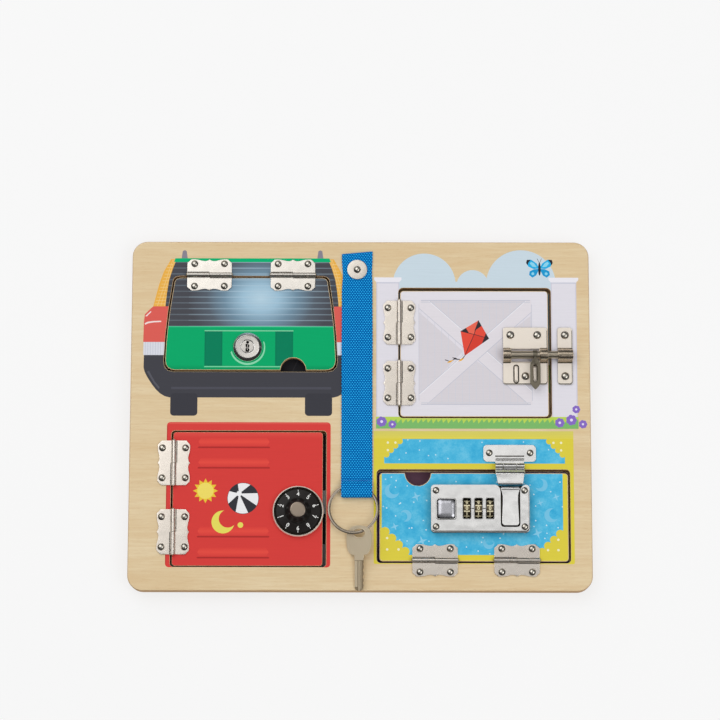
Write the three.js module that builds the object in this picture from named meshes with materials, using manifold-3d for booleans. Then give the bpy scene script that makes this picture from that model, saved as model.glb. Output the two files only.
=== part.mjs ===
// A wooden latch board: a plywood panel with four hinged doors. Each door has its own fastening:
// a keyed cam lock, a slide bolt, a turning dial and a three-wheel lock with a swinging hasp.
// A webbing strap riveted to the middle carries a ring with a key.
// The board lies on its back, which is z = 0. +Z leaves its front, +X is its right, +Y its top.
import * as THREE from "three";
import { mergeVertices } from "three/addons/utils/BufferGeometryUtils.js";
import Module from "manifold-3d";

// Board, all in millimetres
const BOARD_WIDTH = 394;
const BOARD_HEIGHT = 302;
const BOARD_CORNER = 13;
const BOARD_EDGE_ROUND = 1.6;
const BACK_THICK = 3.6;
const FRAME_THICK = 12.4;
const DOOR_THICK = 6;
const FACE = BACK_THICK + FRAME_THICK;
const DOOR_BACK = FACE - DOOR_THICK;
const OVERRUN = 1;
const RUN_CLEAR = 0.3;
const SIDE = BOARD_WIDTH / 2;
const TALL = BOARD_HEIGHT / 2;
const between = (low, high, share) => low + (high - low) * share;

// Margins from the board's side edges to the doors, and from its middle line to them
const CAR_MARGIN = 29.5;
const CAR_INNER = 21.1;
const GATE_MARGIN = 35.7;
const GATE_INNER = 34;
const LOCKER_MARGIN = 37.6;
const LOCKER_INNER = 32;
const BOX_MARGIN = 20.2;
const BOX_INNER = 16.3;

// Heights of the doors' edges, as shares of the board's half height
const CAR_SHARES = { top: 0.7887, bottom: 0.253 };
const GATE_SHARES = { low: -0.0132, high: 0.7139 };
const LOCKER_SHARES = { low: -0.8596, high: -0.1033 };
const BOX_SHARES = { low: -0.8331, high: -0.3338 };

// Car door: a tailgate hinged along its top edge
const CAR_TAPER = 6.9;
const CAR_AXIS_RISE = 2.2;
const CAR_HALF = (SIDE - CAR_MARGIN - CAR_INNER) / 2;
const CAR = {
  middle: -CAR_INNER - CAR_HALF,
  top: TALL * CAR_SHARES.top,
  bottom: TALL * CAR_SHARES.bottom,
  halfTop: CAR_HALF - CAR_TAPER,
  halfBottom: CAR_HALF,
  sideBulge: 2.6,
  topCorner: 6,
  bottomCorner: 9,
  gap: 1.4,
};
const CAR_AXIS_Y = CAR.top + CAR_AXIS_RISE;
const CAR_NOTCH_X = CAR.middle + CAR.halfBottom / 2;
const CAR_HINGE_SHARE = 0.543;

// A door's opening, from the gaps round the door
function opening(door, gaps) {
  return {
    left: door.left - gaps.left,
    right: door.right + gaps.right,
    low: door.low - gaps.low,
    high: door.high + gaps.high,
    corner: gaps.corner,
  };
}

// Gate door, hinged on its left edge
const GATE = {
  left: GATE_INNER,
  right: SIDE - GATE_MARGIN,
  low: TALL * GATE_SHARES.low,
  high: TALL * GATE_SHARES.high,
  corner: 3,
};
const GATE_GAPS = { left: 1.4, right: 2.5, low: 1.1, high: 2.6, corner: 4 };
const GATE_HOLE = opening(GATE, GATE_GAPS);
const AXIS_INSET = 0.6;
const GATE_AXIS_X = GATE.left - AXIS_INSET;
const GATE_HINGE_SHARES = [0.745, 0.264];

// Locker door, hinged on its left edge
const LOCKER = {
  left: LOCKER_MARGIN - SIDE,
  right: -LOCKER_INNER,
  low: TALL * LOCKER_SHARES.low,
  high: TALL * LOCKER_SHARES.high,
  corner: 2.5,
};
const LOCKER_GAPS = { left: 1.7, right: 3.2, low: 1, high: 1.3, corner: 3 };
const LOCKER_HOLE = opening(LOCKER, LOCKER_GAPS);
const LOCKER_AXIS_X = LOCKER.left + AXIS_INSET;
const LOCKER_HINGE_SHARES = [0.767, 0.251];

// Box door, hinged on its bottom edge
const BOX = {
  left: BOX_INNER,
  right: SIDE - BOX_MARGIN,
  low: TALL * BOX_SHARES.low,
  high: TALL * BOX_SHARES.high,
  corner: 3,
};
const BOX_GAPS = { left: 2.3, right: 1.8, low: 1.4, high: 3.1, corner: 3.5 };
const BOX_HOLE = opening(BOX, BOX_GAPS);
const BOX_MIDDLE = (BOX.left + BOX.right) / 2;
const BOX_AXIS_RISE = 0.8;
const BOX_AXIS_Y = BOX.low + BOX_AXIS_RISE;
const BOX_HINGE_SHARES = [0.294, 0.726];
const NOTCH_RADIUS = 10.9;

// Hinge: two leaves with shaped outer edges, a knuckle each and a pin with two heads
const HINGE_LENGTH = 38.5;
const HINGE_REACH = 13.8;
const LEAF_THICK = 1;
const LEAF_CHAMFER = 3.2;
const LEAF_SCALLOP = 1.7;
const KNUCKLE_RADIUS = 2;
const KNUCKLE_BORE = 1.2;
const KNUCKLE_CLEAR = 0.1;
const KNUCKLE_LIFT = KNUCKLE_RADIUS + KNUCKLE_CLEAR;
const PIN_RADIUS = 0.92;
const PIN_HEAD_RADIUS = 1.6;
const PIN_HEAD_THICK = 0.8;
const RIVET_ALONG = 25.7;
const RIVET_ACROSS = 19.7;
const RIVET_RADIUS = 2.7;
const RIVET_HEIGHT = 1.7;
const KNUCKLE_SIDES = 12;
const BORE_SIDES = 8;
const HINGE_AXIS_Z = FACE + KNUCKLE_LIFT;

// Keyed cam lock in the car door
const CAR_LOCK_LEFT = 2.6;
const CAR_LOCK_RISE = 20.1;
const CAR_LOCK = {
  x: CAR.middle - CAR_LOCK_LEFT,
  y: CAR.bottom + CAR_LOCK_RISE,
  bezelRadius: 12.9,
  bezelFaceRadius: 10.4,
  bezelHeight: 3.4,
  bezelCrown: 1.4,
  barrelRadius: 8,
  bore: 5.8,
  plugRadius: 5.4,
  plugRecess: 0.5,
  keyholeWidth: 1.9,
  keyholeLength: 7.4,
  keyholeDepth: 3,
  nutAcross: 22,
  nutThick: 2.4,
  camLength: 29,
  camWidth: 10,
  camThick: 1.3,
  camFloor: 1,
  screwRadius: 3.2,
  screwHead: 0.6,
};

// Slide bolt on the gate door
const BOLT_PLATE_FAR = 39;
const BOLT_PLATE_NEAR = 0.8;
const KEEPER_NEAR = 7.8;
const KEEPER_FAR = 20.6;
const ROD_INNER = 37.1;
const ROD_OUTER = 21.1;
const TAB_INSET = 11.8;
const BOLT_LENGTH = 49.6;
const BOLT_DROP = 2.1;
const BOLT_ROD_DROP = 1.8;
const GATE_MIDDLE_Y = (GATE.low + GATE.high) / 2;
const STAPLE_NEAR = 9.1;
const STAPLE_FAR = 23.1;
const TAB_SLOT_NEAR = 8.5;
const TAB_SLOT_FAR = 23.7;
const TAB_REACH = 30.5;
const BOLT_ROD_Y = GATE_MIDDLE_Y - BOLT_ROD_DROP;
const BOLT = {
  plateLeft: GATE.right - BOLT_PLATE_FAR,
  plateRight: GATE.right - BOLT_PLATE_NEAR,
  keeperLeft: GATE.right + KEEPER_NEAR,
  keeperRight: GATE.right + KEEPER_FAR,
  low: GATE_MIDDLE_Y - BOLT_DROP - BOLT_LENGTH / 2,
  high: GATE_MIDDLE_Y - BOLT_DROP + BOLT_LENGTH / 2,
  corner: 3,
  thick: 1.2,
  rodY: BOLT_ROD_Y,
  rodRadius: 3.4,
  rodLift: 0.5,
  rodLeft: GATE.right - ROD_INNER,
  rodRight: GATE.right + ROD_OUTER,
  rodEndRound: 1.6,
  strapWall: 1.3,
  strapClear: 0.4,
  footReach: 6.9,
  footThick: 1,
  strapLength: 6.6,
  windowMargin: 0.8,
  windowHalf: 6.4,
  collarRadius: 4.7,
  tabX: GATE.right - TAB_INSET,
  tabWidth: 8.9,
  tabEnd: BOLT_ROD_Y - TAB_REACH,
  tabPoint: 6,
  tabThick: 1.4,
  tabSlotHalf: 1.9,
  tabSlotLow: BOLT_ROD_Y - TAB_SLOT_FAR,
  tabSlotHigh: BOLT_ROD_Y - TAB_SLOT_NEAR,
  stapleWidth: 2.6,
  stapleRise: 2.1,
  stapleThick: 0.9,
  stapleLow: BOLT_ROD_Y - STAPLE_FAR,
  stapleHigh: BOLT_ROD_Y - STAPLE_NEAR,
  travel: 16,
  rivetRadius: 3,
  rivetHeight: 1.7,
  rivetInsetHigh: 6.6,
  rivetInsetLow: 7.2,
  rivetInsetLeft: 6.4,
  rivetInsetRight: 8.8,
};
const BOLT_AXIS_Z = FACE + BOLT.thick + BOLT.rodLift + BOLT.rodRadius;
const BOLT_RIVET_HIGH = BOLT.high - BOLT.rivetInsetHigh;
const BOLT_RIVET_LOW = BOLT.low + BOLT.rivetInsetLow;
const BOLT_RIVETS = [
  [BOLT.plateLeft + BOLT.rivetInsetLeft, BOLT_RIVET_HIGH],
  [BOLT.plateRight - BOLT.rivetInsetRight, BOLT_RIVET_HIGH],
  [(BOLT.plateLeft + BOLT.plateRight) / 2, BOLT_RIVET_LOW],
];

// Turning dial on the locker door
const DIAL_INSET = 20.7;
const DIAL_RISE = 46.2;
const DIAL = {
  x: LOCKER.right - DIAL_INSET,
  y: LOCKER.low + DIAL_RISE,
  rimRadius: 21.7,
  rimInner: 19.4,
  rimHeight: 4.2,
  rimRound: 0.9,
  floorThick: 1.2,
  faceRadius: 18.8,
  faceEdge: 3.4,
  faceRaised: 4.4,
  ringRadius: 12.2,
  knobFoot: 11,
  knobTop: 7.6,
  knobRound: 0.8,
  height: 15.75,
  spindleRadius: 3,
  spindleClear: 0.4,
  camLength: 31,
  camWidth: 11,
  camThick: 1.4,
  camFloor: 1.1,
  sides: 32,
};

// Three-wheel lock on the box door
const LOCK_OFFSET = 5.2;
const LOCK_MIDDLE = BOX_MIDDLE + LOCK_OFFSET;
const LOCK_WIDTH = 83.5;
const LOCK_SHARES = { low: 0.321, high: 0.8554 };
const LOCK_LOW = between(BOX.low, BOX.high, LOCK_SHARES.low);
const LOCK_HIGH = between(BOX.low, BOX.high, LOCK_SHARES.high);
const LOCK = {
  left: LOCK_MIDDLE - LOCK_WIDTH / 2,
  right: LOCK_MIDDLE + LOCK_WIDTH / 2,
  low: LOCK_LOW,
  high: LOCK_HIGH,
  corner: 3,
  height: 7.2,
  edgeRound: 0.8,
  chassisHalf: 17,
  chassisMargin: 2.6,
  chassisDepth: 7,
  cutClear: 0.4,
  wheelY: (LOCK_LOW + LOCK_HIGH) / 2,
  wheelPitch: 9.8,
  wheelOffset: 1.55,
  wheelRadius: 8,
  wheelWidth: 5.8,
  wheelProud: 0.5,
  wheelBore: 1.7,
  wheelSides: 20,
  windowWidth: 6.5,
  windowLength: 17.2,
  axleRadius: 1.2,
  buttonInset: 12.9,
  buttonDrop: 0.5,
  buttonWidth: 14.8,
  buttonLength: 15.8,
  buttonClear: 0.35,
  buttonFoot: 3.6,
  buttonProud: 3,
  buttonBevel: 3.2,
  rivetRadius: 2.2,
  rivetHeight: 1.2,
  rivetInsetX: 4.6,
  rivetInsetY: 4,
};
const WHEEL_MIDDLE = LOCK_MIDDLE - LOCK.wheelOffset;
const WHEEL_X = [-1, 0, 1].map((step) => WHEEL_MIDDLE + step * LOCK.wheelPitch);
const BUTTON_X = LOCK.left + LOCK.buttonInset;
const BUTTON_Y = LOCK.wheelY - LOCK.buttonDrop;
const BOX_NOTCH_X = LOCK.left - NOTCH_RADIUS;
const LOCK_TOP = FACE + LOCK.height;
const WHEEL_AXIS_Z = LOCK_TOP + LOCK.wheelProud - LOCK.wheelRadius;

// Tongue that flips up out of the lock's case
const TONGUE_INSET = 16.2;
const TONGUE_END = 5.5;
const TONGUE_PIVOT = 3.3;
const TONGUE = {
  middle: LOCK.right - TONGUE_INSET,
  width: 16,
  endY: LOCK.low + TONGUE_END,
  pivotY: LOCK.high - TONGUE_PIVOT,
  pivotDrop: 2,
  knuckleRadius: 2.5,
  top: 0.6,
  thick: 2.2,
  corner: 2.4,
  sideClear: 0.5,
  recessDepth: 4.8,
  pinRadius: 1,
  pinBore: 1.3,
  pinReach: 2,
};

// Strike plate on the frame and the hasp arm that swings on it
const STRIKE_FAR = 24.1;
const STRIKE_NEAR = 9.5;
const STRIKE_RIVET = 17.2;
const STRIKE_RIDGE = 11.5;
const HASP_AXIS = 5.4;
const HASP_KNEE = 6.8;
const HASP = {
  middle: TONGUE.middle,
  plateHalf: 22.4,
  plateHigh: BOX.high + STRIKE_FAR,
  plateLow: BOX.high + STRIKE_NEAR,
  plateThick: 1.2,
  corner: 2.6,
  rivetOut: 17.4,
  rivetY: BOX.high + STRIKE_RIVET,
  rivetRadius: 2.7,
  rivetHeight: 1.6,
  ridgeY: BOX.high + STRIKE_RIDGE,
  ridgeRadius: 1.7,
  axisY: BOX.high + HASP_AXIS,
  axisLift: 3.1,
  knuckleRadius: 2.8,
  bore: 1.5,
  pinRadius: 1.1,
  halfSpan: 12.3,
  middleHalf: 5.6,
  seam: 0.3,
  armTopHalf: 12,
  armTipHalf: 10.6,
  armTipY: LOCK.high,
  armKneeY: LOCK.high + HASP_KNEE,
  armRootLift: 2.4,
  armTipLift: 8.1,
  armThick: 1.2,
};

// Webbing strap, its rivet and washer
const STRAP_MARGIN = 8.8;
const STRAP_HEM_SHARE = -0.3722;
const STRAP_FOLD_DROP = 26;
const STRAP_WASHER_DROP = 16.3;
const HEM_LENGTH = 16;
const STRAP = {
  left: -16.2,
  right: 10.4,
  top: TALL - STRAP_MARGIN,
  foldY: TALL - STRAP_MARGIN - STRAP_FOLD_DROP,
  hemY: TALL * STRAP_HEM_SHARE,
  end: TALL * STRAP_HEM_SHARE - HEM_LENGTH,
  thick: 1.4,
  seat: 0.3,
  seam: 0.3,
  channel: 3,
  washerY: TALL - STRAP_MARGIN - STRAP_WASHER_DROP,
  washerRadius: 8.7,
  washerBore: 2.6,
  washerThick: 1,
  rivetRadius: 3.2,
  rivetHeight: 1.6,
  rivetShank: 2.2,
  shankDepth: 8,
};
const STRAP_MIDDLE = (STRAP.left + STRAP.right) / 2;
const STRAP_LOW = FACE + STRAP.seat;

// Ring and key: the key lies rolled over and dips, so that the ring passes through its hole
const RING_RADIUS = 20.6;
const RING_IN_HEM = 4.9;
const RING = {
  x: -5.9,
  y: STRAP.hemY - RING_IN_HEM - RING_RADIUS,
  radius: RING_RADIUS,
  wire: 0.85,
  rise: 4,
  sides: 6,
  steps: 36,
};
const KEY = {
  x: -0.7,
  roll: (24 * Math.PI) / 180,
  pitch: (4.8 * Math.PI) / 180,
  thick: 1.4,
  headHalf: 11.6,
  headLength: 24.8,
  holeHalf: 4.9,
  holeTall: 3.3,
  holeDrop: 6.5,
  hang: 1.1,
  headCorner: 11.2,
  neckHalf: 4.6,
  shoulder: 3,
  bladeHalf: 4.15,
  bladeLength: 27.3,
  bladeTip: 2.4,
  cutDepthShares: [0.28, 0.5, 0.2, 0.42, 0.3],
};
const RING_WIRE_Z = STRAP_LOW + STRAP.thick + RUN_CLEAR + RING.wire;

const wasm = await Module();
wasm.setup();

// A closed three.js geometry as a solid that can be joined and cut
function solid(geometry) {
  const bare = new THREE.BufferGeometry();
  bare.setAttribute("position", geometry.getAttribute("position"));
  if (geometry.index) bare.setIndex(geometry.index);
  const merged = mergeVertices(bare, 1e-4);
  return new wasm.Manifold(
    new wasm.Mesh({
      numProp: 3,
      vertProperties: new Float32Array(merged.getAttribute("position").array),
      triVerts: new Uint32Array(merged.index.array),
    }),
  );
}

// A solid as a geometry again
function geometryOf(body) {
  const mesh = body.getMesh();
  const geometry = new THREE.BufferGeometry();
  geometry.setAttribute("position", new THREE.BufferAttribute(mesh.vertProperties, 3));
  geometry.setIndex(new THREE.BufferAttribute(mesh.triVerts, 1));
  return geometry;
}

const FINISHES = {
  wood: { color: 0xe0cba2, roughness: 0.6, metalness: 0 },
  green: { color: 0x00a860, roughness: 0.5, metalness: 0 },
  white: { color: 0xe3e0e6, roughness: 0.5, metalness: 0 },
  red: { color: 0xd9403b, roughness: 0.5, metalness: 0 },
  blue: { color: 0x4fb8df, roughness: 0.5, metalness: 0 },
  nickel: { color: 0xd8d2c8, roughness: 0.25, metalness: 1 },
  chrome: { color: 0xdcdcdc, roughness: 0.12, metalness: 1 },
  black: { color: 0x1a1a1c, roughness: 0.4, metalness: 0 },
  webbing: { color: 0x0a78c8, roughness: 0.85, metalness: 0 },
  brass: { color: 0xb5a68e, roughness: 0.3, metalness: 1 },
};
const MATERIALS = Object.fromEntries(
  Object.entries(FINISHES).map(([name, look]) => [name, new THREE.MeshStandardMaterial(look)]),
);

const board = new THREE.Group();

function add(name, body, finish) {
  const mesh = new THREE.Mesh(geometryOf(body), MATERIALS[finish]);
  mesh.name = name;
  board.add(mesh);
  return mesh;
}

// An outline between two heights
function prism(shape, low, high, curveSegments = 4) {
  const geometry = new THREE.ExtrudeGeometry(shape, {
    depth: high - low,
    bevelEnabled: false,
    curveSegments,
  });
  return solid(geometry.translate(0, 0, low));
}

// A block between two corners
function block(x0, x1, y0, y1, z0, z1) {
  const geometry = new THREE.BoxGeometry(x1 - x0, y1 - y0, z1 - z0);
  return solid(geometry.translate((x0 + x1) / 2, (y0 + y1) / 2, (z0 + z1) / 2));
}

// A rectangle with round corners
function rounded(left, right, low, high, corner) {
  const shape = new THREE.Shape();
  shape.moveTo(left + corner, low);
  shape.lineTo(right - corner, low);
  shape.absarc(right - corner, low + corner, corner, -Math.PI / 2, 0);
  shape.lineTo(right, high - corner);
  shape.absarc(right - corner, high - corner, corner, 0, Math.PI / 2);
  shape.lineTo(left + corner, high);
  shape.absarc(left + corner, high - corner, corner, Math.PI / 2, Math.PI);
  shape.lineTo(left, low + corner);
  shape.absarc(left + corner, low + corner, corner, Math.PI, 1.5 * Math.PI);
  return shape;
}

function roundedOf(area) {
  return rounded(area.left, area.right, area.low, area.high, area.corner);
}

// An outline through points given as [x, y] pairs
function outline(points) {
  return new THREE.Shape(points.map(([x, y]) => new THREE.Vector2(x, y)));
}

// A round bar along X, from one x to another
function barX(radius, from, to, y, z, sides = KNUCKLE_SIDES) {
  const geometry = new THREE.CylinderGeometry(radius, radius, to - from, sides);
  return solid(geometry.rotateZ(-Math.PI / 2).translate((from + to) / 2, y, z));
}

// A round bar along Z
function barZ(radius, low, high, x, y, sides = 24) {
  const geometry = new THREE.CylinderGeometry(radius, radius, high - low, sides);
  return solid(geometry.rotateX(Math.PI / 2).translate(x, y, (low + high) / 2));
}

// A turned piece about a vertical line: the profile holds [radius, z] pairs from the axis up to it
function turned(profile, x, y, sides) {
  const points = profile.map(([r, z]) => new THREE.Vector2(r, z));
  const geometry = new THREE.LatheGeometry(points, sides);
  return solid(geometry.rotateX(Math.PI / 2).translate(x, y, 0));
}

// A rivet's domed head, sunk a little into the plate that it holds
function rivetHead(x, y, z, radius, height, sides = 8) {
  const sink = height / 4;
  const shoulder = Math.PI / 4;
  const profile = [
    [0, z - sink],
    [radius, z - sink],
    [radius, z],
    [radius * Math.cos(shoulder), z + height * Math.sin(shoulder)],
    [0, z + height],
  ];
  return turned(profile, x, y, sides);
}

// The car door's outline, grown by a margin for the hole that it sits in
function carOutline(grow) {
  const top = CAR.top + grow;
  const bottom = CAR.bottom - grow;
  const halfTop = CAR.halfTop + grow;
  const halfBottom = CAR.halfBottom + grow;
  const bulge = CAR.sideBulge;
  const shape = new THREE.Shape();
  const middle = CAR.middle;
  const waist = (top + bottom) / 2;
  const waistHalf = (halfTop + halfBottom) / 2 + bulge;
  shape.moveTo(middle - halfBottom + CAR.bottomCorner, bottom);
  shape.lineTo(middle + halfBottom - CAR.bottomCorner, bottom);
  shape.quadraticCurveTo(middle + halfBottom, bottom, middle + halfBottom, bottom + CAR.bottomCorner);
  shape.quadraticCurveTo(middle + waistHalf, waist, middle + halfTop, top - CAR.topCorner);
  shape.quadraticCurveTo(middle + halfTop, top, middle + halfTop - CAR.topCorner, top);
  shape.lineTo(middle - halfTop + CAR.topCorner, top);
  shape.quadraticCurveTo(middle - halfTop, top, middle - halfTop, top - CAR.topCorner);
  shape.quadraticCurveTo(middle - waistHalf, waist, middle - halfBottom, bottom + CAR.bottomCorner);
  shape.quadraticCurveTo(middle - halfBottom, bottom, middle - halfBottom + CAR.bottomCorner, bottom);
  return shape;
}

// The panel's outline between two heights, with one outer edge rounded: +1 the upper, -1 the lower
function panel(low, high, roundedEnd) {
  const half = BOARD_WIDTH / 2;
  const tall = BOARD_HEIGHT / 2;
  const ease = BOARD_EDGE_ROUND;
  const flat = prism(rounded(-half, half, -tall, tall, BOARD_CORNER), low, high, 6);
  const shape = rounded(-half + ease, half - ease, -tall + ease, tall - ease, BOARD_CORNER - ease);
  const soft = new THREE.ExtrudeGeometry(shape, {
    depth: FACE,
    curveSegments: 6,
    bevelThickness: ease,
    bevelSize: ease,
    bevelSegments: 2,
  });
  const lift = roundedEnd > 0 ? high - FACE - ease : low + ease;
  return flat.intersect(solid(soft.translate(0, 0, lift)));
}

// A cam: a flat finger with round ends, pointing along -X from its pivot
function camPlate(x, y, length, width, low, thick) {
  const half = width / 2;
  const shape = new THREE.Shape();
  shape.moveTo(x - length + half, y - half);
  shape.lineTo(x, y - half);
  shape.absarc(x, y, half, -Math.PI / 2, Math.PI / 2);
  shape.lineTo(x - length + half, y + half);
  shape.absarc(x - length + half, y, half, Math.PI / 2, 1.5 * Math.PI);
  return prism(shape, low, low + thick, 6);
}

function makeBoard() {
  add("back_board", panel(0, BACK_THICK, -1), "wood");
  const lip = DOOR_BACK + OVERRUN / 2;
  let frame = panel(BACK_THICK, FACE, 1);
  const through = (shape) => prism(shape, BACK_THICK - OVERRUN, FACE + OVERRUN, 3);
  frame = frame.subtract(through(carOutline(CAR.gap)));
  [GATE_HOLE, LOCKER_HOLE, BOX_HOLE].forEach((hole) => {
    frame = frame.subtract(through(roundedOf(hole)));
  });
  // Pockets cut from behind, where the two hidden cams turn in behind the frame
  const lockSweep = CAR_LOCK.camLength + OVERRUN;
  frame = frame.subtract(
    block(
      CAR_LOCK.x - lockSweep,
      CAR_LOCK.x + CAR_LOCK.camWidth,
      CAR_LOCK.y - lockSweep,
      CAR.bottom,
      BACK_THICK - OVERRUN,
      lip,
    ),
  );
  const dialSweep = DIAL.camLength + OVERRUN;
  frame = frame.subtract(barZ(dialSweep, BACK_THICK - OVERRUN, lip, DIAL.x, DIAL.y, 32));
  // Blind hole for the strap's rivet
  frame = frame.subtract(
    barZ(
      STRAP.rivetShank + RUN_CLEAR,
      FACE - STRAP.shankDepth - RUN_CLEAR,
      FACE + OVERRUN,
      STRAP_MIDDLE,
      STRAP.washerY,
      12,
    ),
  );
  add("front_frame", frame, "wood");
}

function makeDoors() {
  const full = (shape, segments) => prism(shape, DOOR_BACK, FACE, segments);
  const bite = (x, y) => barZ(NOTCH_RADIUS, DOOR_BACK - OVERRUN, FACE + OVERRUN, x, y, 28);
  const bore = (radius, x, y, sides) => barZ(radius, DOOR_BACK - OVERRUN, FACE + OVERRUN, x, y, sides);
  const carDoor = full(carOutline(0), 4)
    .subtract(bite(CAR_NOTCH_X, CAR.bottom))
    .subtract(bore(CAR_LOCK.barrelRadius + RUN_CLEAR, CAR_LOCK.x, CAR_LOCK.y, 24));
  add("car_door", carDoor, "green");
  add("gate_door", full(roundedOf(GATE), 3), "white");
  const lockerDoor = full(roundedOf(LOCKER), 3).subtract(
    bore(DIAL.spindleRadius + DIAL.spindleClear, DIAL.x, DIAL.y, 12),
  );
  add("locker_door", lockerDoor, "red");
  const cut = LOCK.cutClear;
  const half = LOCK.windowLength / 2 + LOCK.chassisMargin + cut;
  const boxDoor = full(roundedOf(BOX), 3)
    .subtract(bite(BOX_NOTCH_X, BOX.high))
    .subtract(
      block(
        WHEEL_MIDDLE - LOCK.chassisHalf - cut,
        WHEEL_MIDDLE + LOCK.chassisHalf + cut,
        LOCK.wheelY - half,
        LOCK.wheelY + half,
        DOOR_BACK - OVERRUN,
        FACE + OVERRUN,
      ),
    );
  add("box_door", boxDoor, "blue");
}

// One leaf's outline: x runs along the barrel, y away from it
function leafOutline() {
  const half = HINGE_LENGTH / 2;
  const reach = HINGE_REACH;
  const near = KNUCKLE_RADIUS + RUN_CLEAR;
  const side = [
    [half, near],
    [half, reach - LEAF_CHAMFER],
    [half - LEAF_CHAMFER, reach],
    [half - 2 * LEAF_CHAMFER, reach],
  ];
  const scallop = [];
  const width = half - 2 * LEAF_CHAMFER;
  for (let i = 1; i < 4; i += 1) {
    const share = i / 4;
    scallop.push([width * (1 - share), reach - LEAF_SCALLOP * Math.sin(Math.PI * share)]);
  }
  const cusp = [[0, reach - LEAF_SCALLOP / 8]];
  const right = [...side, ...scallop];
  const left = right.map(([x, y]) => [-x, y]).reverse();
  return [...right, ...cusp, ...left];
}

// A leaf in its own place: side +1 lies on the frame, side -1 on the door
function makeLeaf(side) {
  const points = leafOutline().map(([x, y]) => [side * x, side * y]);
  let leaf = prism(outline(points), FACE, FACE + LEAF_THICK);
  const half = HINGE_LENGTH / 2;
  const from = side > 0 ? -half : RUN_CLEAR / 2;
  const to = side > 0 ? -RUN_CLEAR / 2 : half;
  // The web runs from the flat leaf into its own knuckle
  const webFar = side * (KNUCKLE_RADIUS + 2 * RUN_CLEAR);
  const web = block(from, to, Math.min(0, webFar), Math.max(0, webFar), FACE, FACE + LEAF_THICK);
  leaf = leaf.add(web).add(barX(KNUCKLE_RADIUS, from, to, 0, HINGE_AXIS_Z));
  leaf = leaf.subtract(barX(KNUCKLE_BORE, from - OVERRUN, to + OVERRUN, 0, HINGE_AXIS_Z, BORE_SIDES));
  [-1, 1].forEach((end) => {
    const x = (end * RIVET_ALONG) / 2;
    const y = (side * RIVET_ACROSS) / 2;
    leaf = leaf.add(rivetHead(x, y, FACE + LEAF_THICK, RIVET_RADIUS, RIVET_HEIGHT));
  });
  return leaf;
}

function makeHingePin() {
  const half = HINGE_LENGTH / 2 + RUN_CLEAR / 2;
  const head = half + PIN_HEAD_THICK;
  return barX(PIN_RADIUS, -half - OVERRUN / 2, half + OVERRUN / 2, 0, HINGE_AXIS_Z, BORE_SIDES)
    .add(barX(PIN_HEAD_RADIUS, -head, -half, 0, HINGE_AXIS_Z, BORE_SIDES))
    .add(barX(PIN_HEAD_RADIUS, half, head, 0, HINGE_AXIS_Z, BORE_SIDES));
}

// Every hinge: where its middle lies, and the turn that takes its frame leaf from +Y to its own side
const uprightHinges = (prefix, x, door, shares) =>
  ["upper", "lower"].map((place, i) => ({
    name: prefix + "_hinge_" + place,
    x,
    y: between(door.low, door.high, shares[i]),
    turn: Math.PI / 2,
  }));
const HINGES = [
  ...[-1, 1].map((side) => ({
    name: "car_hinge_" + (side < 0 ? "left" : "right"),
    x: CAR.middle + side * CAR.halfTop * CAR_HINGE_SHARE,
    y: CAR_AXIS_Y,
    turn: 0,
  })),
  ...uprightHinges("gate", GATE_AXIS_X, GATE, GATE_HINGE_SHARES),
  ...uprightHinges("locker", LOCKER_AXIS_X, LOCKER, LOCKER_HINGE_SHARES),
  ...["left", "right"].map((place, i) => ({
    name: "box_hinge_" + place,
    x: between(BOX.left, BOX.right, BOX_HINGE_SHARES[i]),
    y: BOX_AXIS_Y,
    turn: Math.PI,
  })),
];

function makeHinges() {
  const shapes = { frame_leaf: makeLeaf(1), door_leaf: makeLeaf(-1), pin: makeHingePin() };
  HINGES.forEach(({ name, x, y, turn }) => {
    Object.entries(shapes).forEach(([piece, body]) => {
      const geometry = geometryOf(body).rotateZ(turn).translate(x, y, 0);
      add(name + "_" + piece, solid(geometry), "nickel");
    });
  });
}

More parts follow.
